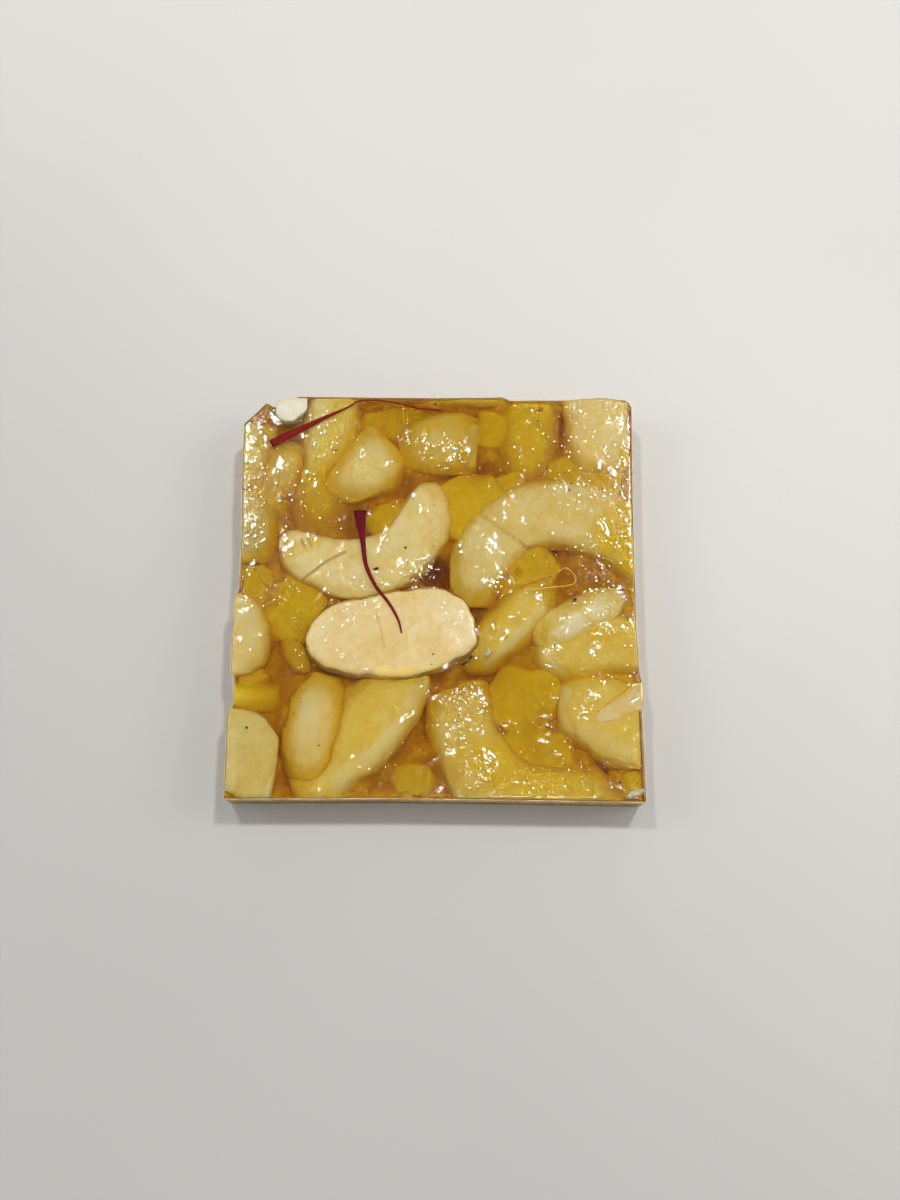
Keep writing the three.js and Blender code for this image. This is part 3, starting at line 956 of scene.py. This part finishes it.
@dataclass
class CaramelTop:
    """The caramel's upper face, as heights in millimetres on a square grid."""

    half_x: float = 28.8
    half_y: float = 29.6
    step: float = 0.2
    level: float = 6.24
    swell: float = 0.08
    soften: float = 1.5
    climb: float = 0.2
    least_film: float = 0.06
    pucker: float = 0.16
    calm: float = 0.45
    deepest: float = 6.0
    zones: tuple[tuple[float, float, float, float], ...] = (
        (3.5, -16.0, 4.2, 1.4), (5.5, -25.0, 3.4, 1.4), (1.0, -20.0, 3.0, 0.7), (1.5, 20.0, 4.5, 0.9),
        (-2.5, 2.5, 3.6, 1.2), (-9.0, 1.5, 2.6, 0.5), (-1.0, 8.0, 3.0, 0.25), (5.6, 6.0, 2.8, 1.3),
        (8.5, 0.6, 2.6, 1.1), (12.0, -1.5, 3.0, 0.4), (-25.0, 8.0, 3.6, 0.5), (-25.6, -3.0, 2.4, 0.3),
        (14.5, -16.0, 2.0, 0.9), (14.6, -19.6, 1.8, 0.8), (-20.4, 18.5, 2.4, 0.4), (25.0, 25.0, 1.8, 0.4),
        (-7.0, 20.5, 2.4, 0.3), (25.2, 7.0, 1.8, 0.35), (22.5, -6.5, 2.0, 0.8), (15.4, -9.0, 2.0, 0.8),
        (20.0, -15.6, 2.4, 0.8), (-0.6, -13.6, 2.0, 0.9), (16.6, 15.0, 1.6, 0.8), (-25.6, 22.4, 1.6, 0.25),
        (-3.4, 22.6, 2.4, 0.8), (21.0, 1.6, 1.6, 0.5), (14.5, -3.5, 1.8, 0.35))
    still: tuple[tuple[float, float, float], ...] = (
        (15.5, 23.0, 4.6), (22.5, 23.0, 4.4), (-16.5, -18.5, 4.4), (-24.8, -23.5, 4.6), (-8.0, -20.0, 3.6),
        (18.0, 12.0, 4.0), (14.0, -25.6, 4.0))

    def __post_init__(self) -> None:
        """Lay out the grid."""
        self.xs = np.arange(-self.half_x, self.half_x + self.step / 2, self.step)
        self.ys = np.arange(-self.half_y, self.half_y + self.step / 2, self.step)
        self.heights = np.full((len(self.xs), len(self.ys)), self.level)
        self.puckers = np.zeros_like(self.heights)
        self.rims: dict[str, np.ndarray] = {}

    def height(self, x: np.ndarray, y: np.ndarray) -> np.ndarray:
        """Read the face's height at places in plan."""
        return self.read(self.heights, x, y)

    def read(self, grid: np.ndarray, x: np.ndarray, y: np.ndarray) -> np.ndarray:
        """Read a grid at places in plan.

        Args:
            grid: Values over the whole face.
            x: Places to the right.
            y: Places away from the viewer.

        Returns:
            One value for each place.
        """
        i = np.clip((np.asarray(x) + self.half_x) / self.step, 0, len(self.xs) - 1.001)
        j = np.clip((np.asarray(y) + self.half_y) / self.step, 0, len(self.ys) - 1.001)
        a, b = i.astype(int), j.astype(int)
        u, v = i - a, j - b
        return ((1 - u) * (1 - v) * grid[a, b] + u * (1 - v) * grid[a + 1, b]
                + (1 - u) * v * grid[a, b + 1] + u * v * grid[a + 1, b + 1])

    def mark_depth(self, obj: bpy.types.Object) -> np.ndarray:
        """Note how deep every corner of a piece lies under the caramel.

        Args:
            obj: The piece.

        Returns:
            Its corners.
        """
        points = coordinates(obj.data)
        depth = np.clip(self.height(points[:, 0], points[:, 1]) - points[:, 2], 0, self.deepest)
        set_attribute(obj.data, "depth", depth)
        return points

    def _pattern(self, size: float, seed: float, octaves: int) -> np.ndarray:
        """Read a cloudy pattern over the whole grid."""
        return np.array([[cloud(x, y, size, seed, octaves) for y in self.ys] for x in self.xs])

    def _tops(self, kernel: Kernel) -> np.ndarray:
        """Find the height of a kernel's upper face.

        Args:
            kernel: The kernel.

        Returns:
            Its height over the grid, far below where it isn't.
        """
        tops = np.full(self.heights.shape, NOT_THERE)
        tree = BVHTree.FromObject(kernel.obj, bpy.context.evaluated_depsgraph_get())
        points = coordinates(kernel.obj.data)
        low, high = points.min(0), points.max(0)
        down = Vector((0, 0, -1))
        for i in np.flatnonzero((self.xs >= low[0]) & (self.xs <= high[0])):
            for j in np.flatnonzero((self.ys >= low[1]) & (self.ys <= high[1])):
                hit = tree.ray_cast(Vector((self.xs[i], self.ys[j], ABOVE)) * MM, down)[0]
                if hit:
                    tops[i, j] = hit.z / MM
        return tops

    def rim(self, name: str, points: np.ndarray) -> np.ndarray:
        """Say how near points lie to a kernel's outline, leaving out what the knife cut.

        Args:
            name: The kernel's name.
            points: Rows that start with x and y.

        Returns:
            A share of 0 to 1 for each row.
        """
        return self.read(self.rims[name], points[:, 0], points[:, 1])

    def settle(self, kernels: Sequence[Kernel]) -> None:
        """Let the caramel run over and between the kernels.

        Args:
            kernels: The dressed kernels.
        """
        flat = self.level + self.swell * self._pattern(9.0, 3.1, 2)
        tops = {kernel.name: self._tops(kernel) for kernel in kernels}
        x, y = np.meshgrid(self.xs, self.ys, indexing="ij")
        beyond = (np.abs(x) > CUT_REACH[0]) | (np.abs(y) > CUT_REACH[1])
        for kernel in kernels:
            twin = tops[kernel.fused or kernel.name]
            covered = (tops[kernel.name] > NOT_THERE) | (twin > NOT_THERE) | beyond
            soft = blur(covered.astype(float), 2.0 / self.step)
            self.rims[kernel.name] = 1 - ease(soft, 0.5, 0.98)
            kernel.slope(self)
            tops[kernel.name] -= kernel.shoulder * self.rims[kernel.name] ** 1.5
        patchy = ease(self._pattern(5.0, 1.9, 2), -0.2, 0.4)
        poured = flat
        for kernel in kernels:
            if kernel.cover is Cover.FILM:
                wanted = np.maximum(tops[kernel.name] + kernel.film, -20)
                gap = poured - wanted
                poured = 0.5 * (poured + wanted + np.sqrt(gap * gap + 0.02))
        poured = blur(poured, self.soften / self.step)
        for kernel in kernels:
            if kernel.cover is Cover.BARE:
                out = blur((tops[kernel.name] > poured).astype(float), 0.5 / self.step)
                poured = poured + self.climb * out * patchy
                inside = tops[kernel.name] > poured + 0.1
                poured = np.where(inside, np.minimum(poured, tops[kernel.name] - 0.2), poured)
        for kernel in kernels:
            if kernel.cover is Cover.FILM:
                poured = np.maximum(poured, tops[kernel.name] + self.least_film)
        thin = np.maximum.reduce([tops[kernel.name] for kernel in kernels]) > poured - 0.6
        held = self.calm + (1 - self.calm) * blur(thin.astype(float), 0.5 / self.step)
        self.puckers = self._zones() * held
        ridges = 1 - np.abs(self._pattern(1.8, 8.4, 2))
        self.heights = poured + self.pucker * (ridges - 0.55) * self.puckers

    def _zones(self) -> np.ndarray:
        """Say how strongly the film is puckered over the grid, from 0 to 1."""
        x, y = np.meshgrid(self.xs, self.ys, indexing="ij")
        strength = 0.05 + 0.34 * ease(self._pattern(3.0, 5.7, 2), 0.1, 0.6)
        for still_x, still_y, reach in self.still:
            away = np.hypot(x - still_x, y - still_y) / reach
            strength *= 1 - 0.8 * (1 - ease(away, 0.5, 1.1))
        for zone_x, zone_y, reach, most in self.zones:
            away = np.hypot(x - zone_x, y - zone_y) / reach
            strength = np.maximum(strength, most * (1 - ease(away, 0.4, 1.1)))
        return strength


@dataclass
class CaramelSlab:
    """The clear caramel body: the settled top, rounded rims, cut sides and a flat underside."""

    near: tuple[Point, ...] = ((-27.95, -28.35), (-6, -28.3), (10, -28.5), (27.7, -28.8))
    right: tuple[Point, ...] = ((27.7, -28.8), (27.6, -16.6), (27.9, -14.8), (27.85, -13.2), (27.45, -11.6),
                                (27.25, -4), (27.4, 12), (27.75, 27.2), (27.4, 27.8))
    far: tuple[Point, ...] = ((-25.7, 26.3), (-24.3, 27.8), (-23.1, 27.1), (-21.5, 28.3), (-19.6, 28.8),
                              (-12, 28.7), (-1, 28.6), (9.4, 28.7), (10.4, 28.2), (17.4, 28.2), (23.5, 28.6),
                              (26.9, 28.2), (27.4, 27.8))
    left: tuple[Point, ...] = ((-27.95, -28.35), (-27.97, -17), (-27.3, -16), (-27.3, -12.2), (-27.75, -11.2),
                               (-27.75, -1), (-27.1, 0.2), (-27.05, 8), (-27.35, 16), (-27.4, 24.6),
                               (-25.7, 26.3))
    cells_x: int = 280
    cells_y: int = 288
    rim: float = 0.3
    rim_drop: float = 0.16
    rings: int = 9
    ring_top: float = 5.2
    side_top: float = 5.3
    drag: float = 0.06

    def edges(self, count_x: int, count_y: int) -> tuple[np.ndarray, ...]:
        """Walk along the four cut edges.

        Args:
            count_x: Points along the near and far edges.
            count_y: Points along the left and right edges.

        Returns:
            The near, far, left and right edges as rows of x and y.
        """
        def across(path: Sequence[Point]) -> np.ndarray:
            """Walk an edge that runs from left to right."""
            p = np.array(path)
            x = np.linspace(p[0, 0], p[-1, 0], count_x)
            return np.column_stack([x, np.interp(x, p[:, 0], p[:, 1])])

        def along(path: Sequence[Point]) -> np.ndarray:
            """Walk an edge that runs from near to far."""
            p = np.array(path)
            y = np.linspace(p[0, 1], p[-1, 1], count_y)
            return np.column_stack([np.interp(y, p[:, 1], p[:, 0]), y])

        return across(self.near), across(self.far), along(self.left), along(self.right)

    def sheet(self, name: str, cells_x: int, cells_y: int) -> tuple[bpy.types.Object, np.ndarray, np.ndarray]:
        """Lay a flat grid out between the cut edges.

        Args:
            name: The new piece's name.
            cells_x: Cells from left to right.
            cells_y: Cells from near to far.

        Returns:
            The grid as a piece, the plan of its corners, and how many cells each lies from the rim.
        """
        put_down()
        bpy.ops.mesh.primitive_grid_add(x_subdivisions=cells_x, y_subdivisions=cells_y, size=2 * MM)
        obj = named(name)
        points = coordinates(obj.data)
        near, far, left, right = self.edges(cells_x + 1, cells_y + 1)
        i = np.rint((points[:, 0] + 1) / 2 * cells_x).astype(int)
        j = np.rint((points[:, 1] + 1) / 2 * cells_y).astype(int)
        u, v = i[:, None] / cells_x, j[:, None] / cells_y
        corners = ((1 - u) * (1 - v) * near[0] + u * (1 - v) * near[-1]
                   + (1 - u) * v * far[0] + u * v * far[-1])
        plan = (1 - v) * near[i] + v * far[i] + (1 - u) * left[j] + u * right[j] - corners
        edge = np.minimum.reduce([np.minimum(i, cells_x - i), np.minimum(j, cells_y - j)])
        return obj, plan, edge

    def build(self, top: CaramelTop) -> bpy.types.Object:
        """Shape the slab.

        Args:
            top: The caramel's upper face.

        Returns:
            The finished piece.
        """
        obj, plan, edge = self.sheet("caramel_slab", self.cells_x, self.cells_y)
        near, far, left, right = self.edges(self.cells_x + 1, self.cells_y + 1)
        walk = (near, right[1:], far[::-1][1:], left[::-1][1:])
        outline = [tuple(row) for part in walk for row in part]
        sparse = outline[::6] + [outline[-1]]
        inwards = np.full(len(plan), 9.0)
        rim_rows = edge < 8
        inwards[rim_rows] = distance_to_path(plan[rim_rows], sparse)
        inwards[edge == 0] = 0
        drop = self.rim_drop * (1 - np.sqrt(np.clip(1 - np.clip(1 - inwards / self.rim, 0, 1) ** 2, 0, 1)))
        height = top.height(plan[:, 0], plan[:, 1]) - drop
        set_coordinates(obj.data, np.column_stack([plan, height]))
        self._close(obj)
        self._rough_sides(obj)
        points = coordinates(obj.data)
        set_attribute(obj.data, "pucker", top.read(top.puckers, points[:, 0], points[:, 1]))
        return obj

    def _close(self, obj: bpy.types.Object) -> None:
        """Close the sheet into a slab and cut its sides into rings.

        Args:
            obj: The sheet that becomes the slab.
        """
        close_sheet(obj, 0.0)
        with editing(obj):
            for k in range(1, self.rings):
                bpy.ops.mesh.select_all(action="SELECT")
                bpy.ops.mesh.bisect(plane_co=(0, 0, k * self.ring_top / self.rings * MM), plane_no=(0, 0, 1))
        bpy.ops.object.shade_smooth_by_angle(angle=math.radians(50))

    def _rough_sides(self, obj: bpy.types.Object) -> None:
        """Mark the cut faces and leave the knife's drag on them.

        Args:
            obj: The slab.
        """
        points = coordinates(obj.data)
        faced = normals(obj.data)
        side = (points[:, 2] < self.side_top) & (points[:, 2] > 0.01)
        cut = np.where((points[:, 2] < self.side_top) | (np.abs(faced[:, 2]) < 0.5), 1.0, 0.0)
        set_attribute(obj.data, "cut", cut)
        for k in np.flatnonzero(side):
            x, y, z = points[k]
            shift = noise.fractal(Vector((x / 1.1, y / 1.1, z / 3.0)), 1.0, 2.0, 3)
            points[k, :2] += faced[k, :2] * self.drag * shift
        set_coordinates(obj.data, points)


@dataclass
class SunkBed:
    """An opaque uneven bed inside the caramel, which stops the eye so that the gaps come out brown."""

    shrink: float = 0.993
    level: float = 3.95
    swell: float = 1.2
    bank: float = 0.9
    foot: float = 0.5
    cells_x: int = 130
    cells_y: int = 134
    pits: tuple[tuple[float, float, float, float], ...] = (
        (0.4, 2.4, 3.4, 2.4), (4.5, -11.5, 3.0, 0.5), (17.6, 24.6, 2.0, 0.8), (-11.5, 11.5, 2.2, 0.5),
        (-21.6, -9.6, 3.6, 0.5), (-1.0, -17.0, 3.0, 0.5), (7.2, 17.2, 2.4, 0.7), (8.0, 20.6, 2.2, -0.8),
        (-23.0, 24.8, 2.6, 0.5), (12.0, -19.2, 2.0, 0.6), (-3.0, 15.0, 4.0, 0.4), (18.0, -21.5, 3.4, 0.5),
        (-1.5, -22.0, 2.2, -0.7), (18.0, 5.0, 3.0, -0.3))

    def build(self, slab: CaramelSlab, top: CaramelTop) -> bpy.types.Object:
        """Shape the layer within the slab.

        Args:
            slab: The caramel that holds it.
            top: The caramel's upper face.

        Returns:
            The piece.
        """
        obj, plan, edge = slab.sheet("sunk_bed", self.cells_x, self.cells_y)
        plan = plan * self.shrink
        height = self.level + self.bank * (1 - ease(edge, 1.0, 5.0))
        for k, (x, y) in enumerate(plan):
            height[k] += self.swell * cloud(x, y, 5, 2.2, 2)
            height[k] += 0.5 * self.swell * cloud(x, y, 1.6, 7.2, 2)
        for x, y, reach, drop in self.pits:
            height -= drop * (1 - ease(np.hypot(plan[:, 0] - x, plan[:, 1] - y) / reach, 0.2, 1.0))
        set_coordinates(obj.data, np.column_stack([plan, height]))
        close_sheet(obj, self.foot)
        bpy.ops.object.shade_smooth_by_angle(angle=math.radians(60))
        points = top.mark_depth(obj)
        leave_plain(obj.data, "crack_shade", "pale", "glaze")
        stain = np.array([cloud(x, y, 3.0, 4.4, 4) for x, y, _ in points])
        set_attribute(obj.data, "gold", ease(stain, -0.05, 0.35))
        return obj


# Saffron


@dataclass
class SaffronThread:
    """A saffron thread laid over the tile: a flattened tube, broad and frilled at its head."""

    name: str
    node: str
    path: tuple[tuple[float, float, float], ...]
    finish: SaffronFinish
    thick: float = 0.3
    steps: int = 12
    around: int = 12
    sink: float = 0.06

    def build(self, ground: "Ground") -> bpy.types.Object:
        """Shape the thread on what lies under it.

        Args:
            ground: The finished top of the tile.

        Returns:
            The piece.
        """
        rows = smooth_path(self.path, self.steps)
        count = len(rows)
        put_down()
        bpy.ops.mesh.primitive_cylinder_add(vertices=self.around, radius=1, depth=2, end_fill_type="TRIFAN")
        obj = named(self.name)
        with editing(obj):
            for k in range(1, count - 1):
                bpy.ops.mesh.select_all(action="SELECT")
                bpy.ops.mesh.bisect(plane_co=(0, 0, -1 + 2 * k / (count - 1)), plane_no=(0, 0, 1))
        raw = coordinates(obj.data) * MM
        step = np.clip(np.rint((raw[:, 2] + 1) / 2 * (count - 1)).astype(int), 0, count - 1)
        tangent = np.gradient(rows[:, :2], axis=0)
        tangent /= np.linalg.norm(tangent, axis=1)[:, None]
        side = np.column_stack([-tangent[:, 1], tangent[:, 0]])
        level = ground.along(rows)
        half = rows[:, 2] / 2
        angle = np.arctan2(raw[:, 1], raw[:, 0])
        reach = np.hypot(raw[:, 0], raw[:, 1])
        curl = 0.35 * np.cos(2 * angle) * (half[step] > 0.4)
        u, v = raw[:, 0], np.sin(angle) * reach
        plan = rows[step, :2] + side[step] * (u * half[step])[:, None]
        frill = np.where(step == 0, 0.35 * np.sin(5 * angle), 0)
        plan -= tangent[step] * frill[:, None] * half[step][:, None]
        depth = np.minimum(self.thick, 1.1 * rows[:, 2])
        z = (level[step] + depth[step] / 2 - self.sink
             + v * depth[step] / 2 * (1 - 0.3 * np.abs(u)) + 0.12 * curl * np.abs(u))
        set_coordinates(obj.data, np.column_stack([plan, z]))
        set_attribute(obj.data, "along", step / (count - 1))
        with editing(obj):
            bpy.ops.mesh.normals_make_consistent(inside=False)
        bpy.ops.object.shade_smooth()
        return obj


class Ground:
    """The finished upper face of the tile, for what lies on it."""

    def __init__(self, pieces: Sequence[bpy.types.Object]) -> None:
        """Keep a search tree for every piece."""
        graph = bpy.context.evaluated_depsgraph_get()
        self.trees = [BVHTree.FromObject(piece, graph) for piece in pieces]

    def height(self, x: float, y: float) -> float:
        """Give the highest level at a place in plan."""
        hits = [tree.ray_cast(Vector((x, y, ABOVE)) * MM, Vector((0, 0, -1)))[0] for tree in self.trees]
        return max((hit.z / MM for hit in hits if hit), default=0.0)

    def along(self, rows: np.ndarray) -> np.ndarray:
        """Give a softened level along a path.

        Args:
            rows: Points that start with x and y.

        Returns:
            One level for each row.
        """
        level = np.array([self.height(row[0], row[1]) for row in rows])
        padded = np.pad(level, 3, mode="edge")
        return np.convolve(padded, np.ones(7) / 7, "valid")


THREADS = (
    SaffronThread("saffron_thread_centre", "saffron_centre", (
        (-10.7, 11.4, 1.75), (-10.5, 9.3, 1.25), (-10.2, 7, 0.72), (-9.7, 3.6, 0.58), (-8.4, 0.7, 0.5),
        (-6.4, -2, 0.42), (-5.2, -4.2, 0.34), (-4.7, -6.1, 0.2)),
        SaffronFinish("saffron_wine", (0.10, 0.004, 0.011), (0.20, 0.014, 0.008)), 0.34),
    SaffronThread("saffron_thread_far", "saffron_far", (
        (-23.3, 21.5, 1.25), (-20.9, 22.9, 1.1), (-18, 24.4, 0.8), (-15.3, 25.8, 0.5), (-13, 26.9, 0.26),
        (-11, 28.05, 0.24), (-8.4, 28.15, 0.24), (-5.5, 27.7, 0.26), (-2.8, 27, 0.36), (0.6, 26.6, 0.3)),
        SaffronFinish("saffron_brick", (0.17, 0.008, 0.006), (0.26, 0.022, 0.006)), 0.3),
    SaffronThread("saffron_style", "", (
        (10.6, 0.9, 0.12), (13.5, 1.6, 0.15), (16.4, 2.5, 0.17), (17.8, 3.2, 0.17), (19.0, 2.2, 0.16),
        (19.1, 1.2, 0.17), (18.2, 0.7, 0.16), (16.3, 0.5, 0.15), (13.8, 0.2, 0.13), (11.8, -0.3, 0.1)),
        SaffronFinish("style_yellow", (0.66, 0.36, 0.04), (0.80, 0.52, 0.09)), 0.16, sink=0.03),
)


# Crumbs and cut faces


@dataclass
class Grains:
    """Loose crumbs of one kind, pressed into the top."""

    name: str
    slot: str
    finish: GrainFinish
    places: tuple[tuple[float, float, float, float, float], ...]
    sink: float = 0.35

    def build(self, ground: Ground) -> bpy.types.Object:
        """Shape every crumb where it lies and join them.

        Args:
            ground: The finished top of the tile.

        Returns:
            The piece.
        """
        made = []
        for x, y, length, width, turn in self.places:
            put_down()
            bpy.ops.mesh.primitive_ico_sphere_add(subdivisions=2, radius=1)
            obj = bpy.context.object
            points = coordinates(obj.data) * MM
            for row in points:
                row *= 1 + 0.35 * noise.noise(Vector(row) * 1.4 + Vector((x, y, 0)))
            points *= 0.5 * np.array([length, width, min(length, width)])
            points[:, :2] = turned(points[:, :2], turn) + np.array([x, y])
            points[:, 2] += ground.height(x, y) + (0.5 - self.sink) * min(length, width)
            set_coordinates(obj.data, points)
            made.append(obj)
        take(made[0])
        for obj in made:
            obj.select_set(True)
        if len(made) > 1:
            bpy.ops.object.join()
        made[0].name = made[0].data.name = self.name
        bpy.ops.object.shade_smooth()
        return made[0]


GRAINS = (
    Grains("specks_dark", "cashew", GrainFinish("speck_dark", (0.035, 0.018, 0.008)), (
        (-4.3, 6.1, 0.34, 0.28, 0), (-8.3, 3.1, 0.75, 0.4, 15), (19.0, -1.3, 0.55, 0.4, 20),
        (-0.2, 27.6, 0.4, 0.34, 0), (14.4, 25.0, 0.3, 0.24, 0), (-25.3, -19.0, 0.34, 0.3, 0),
        (-0.4, -9.0, 0.36, 0.2, 30), (-0.6, -10.4, 0.22, 0.16, 0), (24.3, -26.3, 0.34, 0.3, 0),
        (3.9, -10.2, 0.9, 0.5, 40), (4.7, -9.4, 0.8, 0.42, 50), (-14.2, 20.6, 0.26, 0.2, 0),
        (18.6, 14.6, 0.3, 0.22, 30), (18.9, 15.6, 0.24, 0.2, 0), (-19.4, -3.6, 0.26, 0.2, 0),
        (-15.6, -21.4, 0.3, 0.2, 0), (21.0, 15.2, 0.26, 0.16, 10))),
    Grains("crumb_pale", "cashew", GrainFinish("crumb_pale", (0.58, 0.47, 0.27)), (
        (7.0, -8.8, 1.5, 0.8, 62), (16.6, 16.2, 0.5, 0.36, 20), (26.3, -27.8, 2.8, 1.1, 20))),
)


@dataclass
class CutBloom:
    """The pale dusty skin that the knife leaves round the sides."""

    away: float = 0.03
    thick: float = 0.09
    low: float = 0.12
    high: float = 5.95
    rows: int = 12
    count: int = 420

    def build(self, slab: CaramelSlab) -> bpy.types.Object:
        """Wrap a thin skin round the cut sides.

        Args:
            slab: The caramel that the skin lies on.

        Returns:
            The piece.
        """
        near, far, left, right = slab.edges(EDGE_STEPS, EDGE_STEPS)
        loop = np.vstack([near[:-1], right[:-1], far[::-1][:-1], left[::-1]])
        reach = np.concatenate([[0], np.cumsum(np.linalg.norm(np.diff(loop, axis=0), axis=1))])
        walk = np.linspace(0, reach[-1], self.count + 1)
        outline = np.column_stack([np.interp(walk, reach, loop[:, 0]), np.interp(walk, reach, loop[:, 1])])
        outline[-1] = outline[0]
        tangent = np.roll(outline[:-1], -1, axis=0) - np.roll(outline[:-1], 1, axis=0)
        outward = np.column_stack([tangent[:, 1], -tangent[:, 0]]) / np.linalg.norm(tangent, axis=1)[:, None]
        outward = np.vstack([outward, outward[:1]])
        put_down()
        bpy.ops.mesh.primitive_grid_add(x_subdivisions=self.count, y_subdivisions=self.rows, size=2 * MM)
        obj = named("cut_bloom")
        points = coordinates(obj.data)
        i = np.rint((points[:, 0] + 1) / 2 * self.count).astype(int)
        share = (points[:, 1] + 1) / 2
        plan = outline[i] + self.away * outward[i]
        set_coordinates(obj.data, np.column_stack([plan, self.low + share * (self.high - self.low)]))
        set_attribute(obj.data, "rise", share)
        with editing(obj):
            bpy.ops.mesh.remove_doubles(threshold=0.001 * MM)
            bpy.ops.mesh.normals_make_consistent(inside=False)
        apply_modifier(obj, "SOLIDIFY", thickness=self.thick * MM, offset=1.0)
        bpy.ops.object.shade_smooth_by_angle(angle=math.radians(50))
        return obj


# Studio


@dataclass
class Studio:
    """A pale table, soft light from above and the photographer's view."""

    eye: tuple[float, float, float] = (1.870, -47.783, 179.546)
    tilt: float = 15.0
    lens: float = 39.27
    table: Colour = (0.553, 0.545, 0.518)
    lamp_away: float = 0.9
    lamps: tuple[tuple[str, float, float, float, float], ...] = (
        ("lamp_right", 25.0, 18.0, 0.07, 3.0), ("lamp_left", 150.0, 18.0, 0.05, 1.9),
        ("lamp_near", -80.0, 18.0, 0.04, 0.9),
        ("panel_right", 0.0, 55.0, 0.4, 2.2), ("panel_left", 180.0, 55.0, 0.4, 1.4))

    def build(self) -> None:
        """Set the table, the lights, the surroundings and the camera."""
        self._table()
        self._surroundings()
        for name, turn, spread, size, power in self.lamps:
            self._lamp(name, math.radians(turn), math.radians(spread), size, power)
        self._camera()
        scene = bpy.context.scene
        scene.view_settings.view_transform = "Standard"
        scene.view_settings.look = "None"
        scene.cycles.max_bounces = scene.cycles.transmission_bounces = 20
        scene.cycles.diffuse_bounces = 12

    def _table(self) -> None:
        """Lay the pale table top under the tile, with a painted light falloff across it."""
        put_down()
        bpy.ops.mesh.primitive_plane_add(size=1.6, location=(0, 0, -0.02 * MM))
        obj = named("table_top")
        paint = Paint("table_paper")
        uneven = paint.ramp(paint.texture(14, 3), 0.3, 0.7)
        grey = tuple(0.97 * c for c in self.table) + (1,)
        # Painted light falloff: the table darkens to the left and near side and brightens to the right and
        # far side.
        axes = paint.add("SeparateXYZ", {0: paint.place}).outputs
        slope = paint.math("MULTIPLY_ADD", axes["X"], 1.4, paint.times(axes["Y"], 1.75))
        tone = paint.ramp(slope, -0.16, 0.16, 0.82, 1.10)
        paper = paint.mix(uneven, (*self.table, 1), grey)
        paint.shade({"Base Color": paint.mix(1.0, paper, tone, "MULTIPLY"), "Roughness": 0.6})
        obj.data.materials.append(paint.material)

    def _surroundings(self) -> None:
        """Light the room evenly, dimmer overhead."""
        world = bpy.data.worlds.new("room")
        world.use_nodes = True
        bpy.context.scene.world = world
        graph = Graph(world.node_tree, "Generated")
        up = graph.add("SeparateXYZ", {0: graph.place}).outputs["Z"]
        bright = graph.ramp(up, 0.35, 0.95, 0.66, 0.07)
        sky = graph.add("Background", {"Color": (1.0, 0.99, 0.97, 1), "Strength": bright})
        output = graph.add("OutputWorld")
        graph.feed(output.inputs["Surface"], sky.outputs[0])

    def _lamp(self, name: str, turn: float, spread: float, size: float, power: float) -> None:
        """Hang one lamp beside the spot that a level top mirrors to the viewer, so that only wrinkles glint.

        Args:
            name: The lamp's name.
            turn: The side of that spot on which it hangs, from the right towards the far side, in radians.
            spread: How far it hangs from that spot, in radians.
            size: The side of its square, in metres.
            power: Its power in watts.
        """
        mirror = math.radians(90 - self.tilt)
        ahead = Vector((0, math.cos(mirror), math.sin(mirror)))
        across, beyond = Vector((1, 0, 0)), Vector((0, math.sin(mirror), -math.cos(mirror)))
        aside = across * math.cos(turn) + beyond * math.sin(turn)
        lamp = bpy.data.lights.new(name, "AREA")
        lamp.size = size
        lamp.energy = power
        obj = bpy.data.objects.new(name, lamp)
        bpy.context.collection.objects.link(obj)
        obj.location = self.lamp_away * (ahead * math.cos(spread) + aside * math.sin(spread))
        obj.rotation_euler = (-obj.location).to_track_quat("-Z", "Y").to_euler()

    def _camera(self) -> None:
        """Stand the camera where the photographer held it."""
        lens = bpy.data.cameras.new("view")
        lens.sensor_width = 36
        lens.lens = self.lens
        lens.clip_start = 0.005
        obj = bpy.data.objects.new("view", lens)
        bpy.context.collection.objects.link(obj)
        obj.location = Vector(self.eye) * MM
        obj.rotation_euler = (math.radians(self.tilt), 0, 0)
        bpy.context.scene.camera = obj


def main() -> None:
    """Build the tile piece by piece, then the studio."""
    logging.basicConfig(level=logging.INFO, format="%(name)s: %(message)s")
    noise.seed_set(NOISE_SEED)
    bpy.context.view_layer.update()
    for kernel in (*KERNELS, *SUNK):
        kernel.build()
    top = CaramelTop()
    top.settle(KERNELS)
    for kernel in (*KERNELS, *SUNK):
        kernel.finish(top)
    dress(SunkBed().build(CaramelSlab(), top), CashewFinish(Flesh.BROWN).material(), "cashew")
    slab = CaramelSlab().build(top)
    dress(slab, CaramelFinish().material(), "caramel", "caramel")
    ground = Ground([slab, *(kernel.obj for kernel in KERNELS)])
    for thread in THREADS:
        dress(thread.build(ground), thread.finish.material(), "saffron", *filter(None, [thread.node]))
    for grains in GRAINS:
        dress(grains.build(ground), grains.finish.material(), grains.slot)
    bloom = CutBloom().build(CaramelSlab())
    dress(bloom, BloomFinish().material(), "caramel")
    Studio().build()


if __name__ == "__main__":
    main()
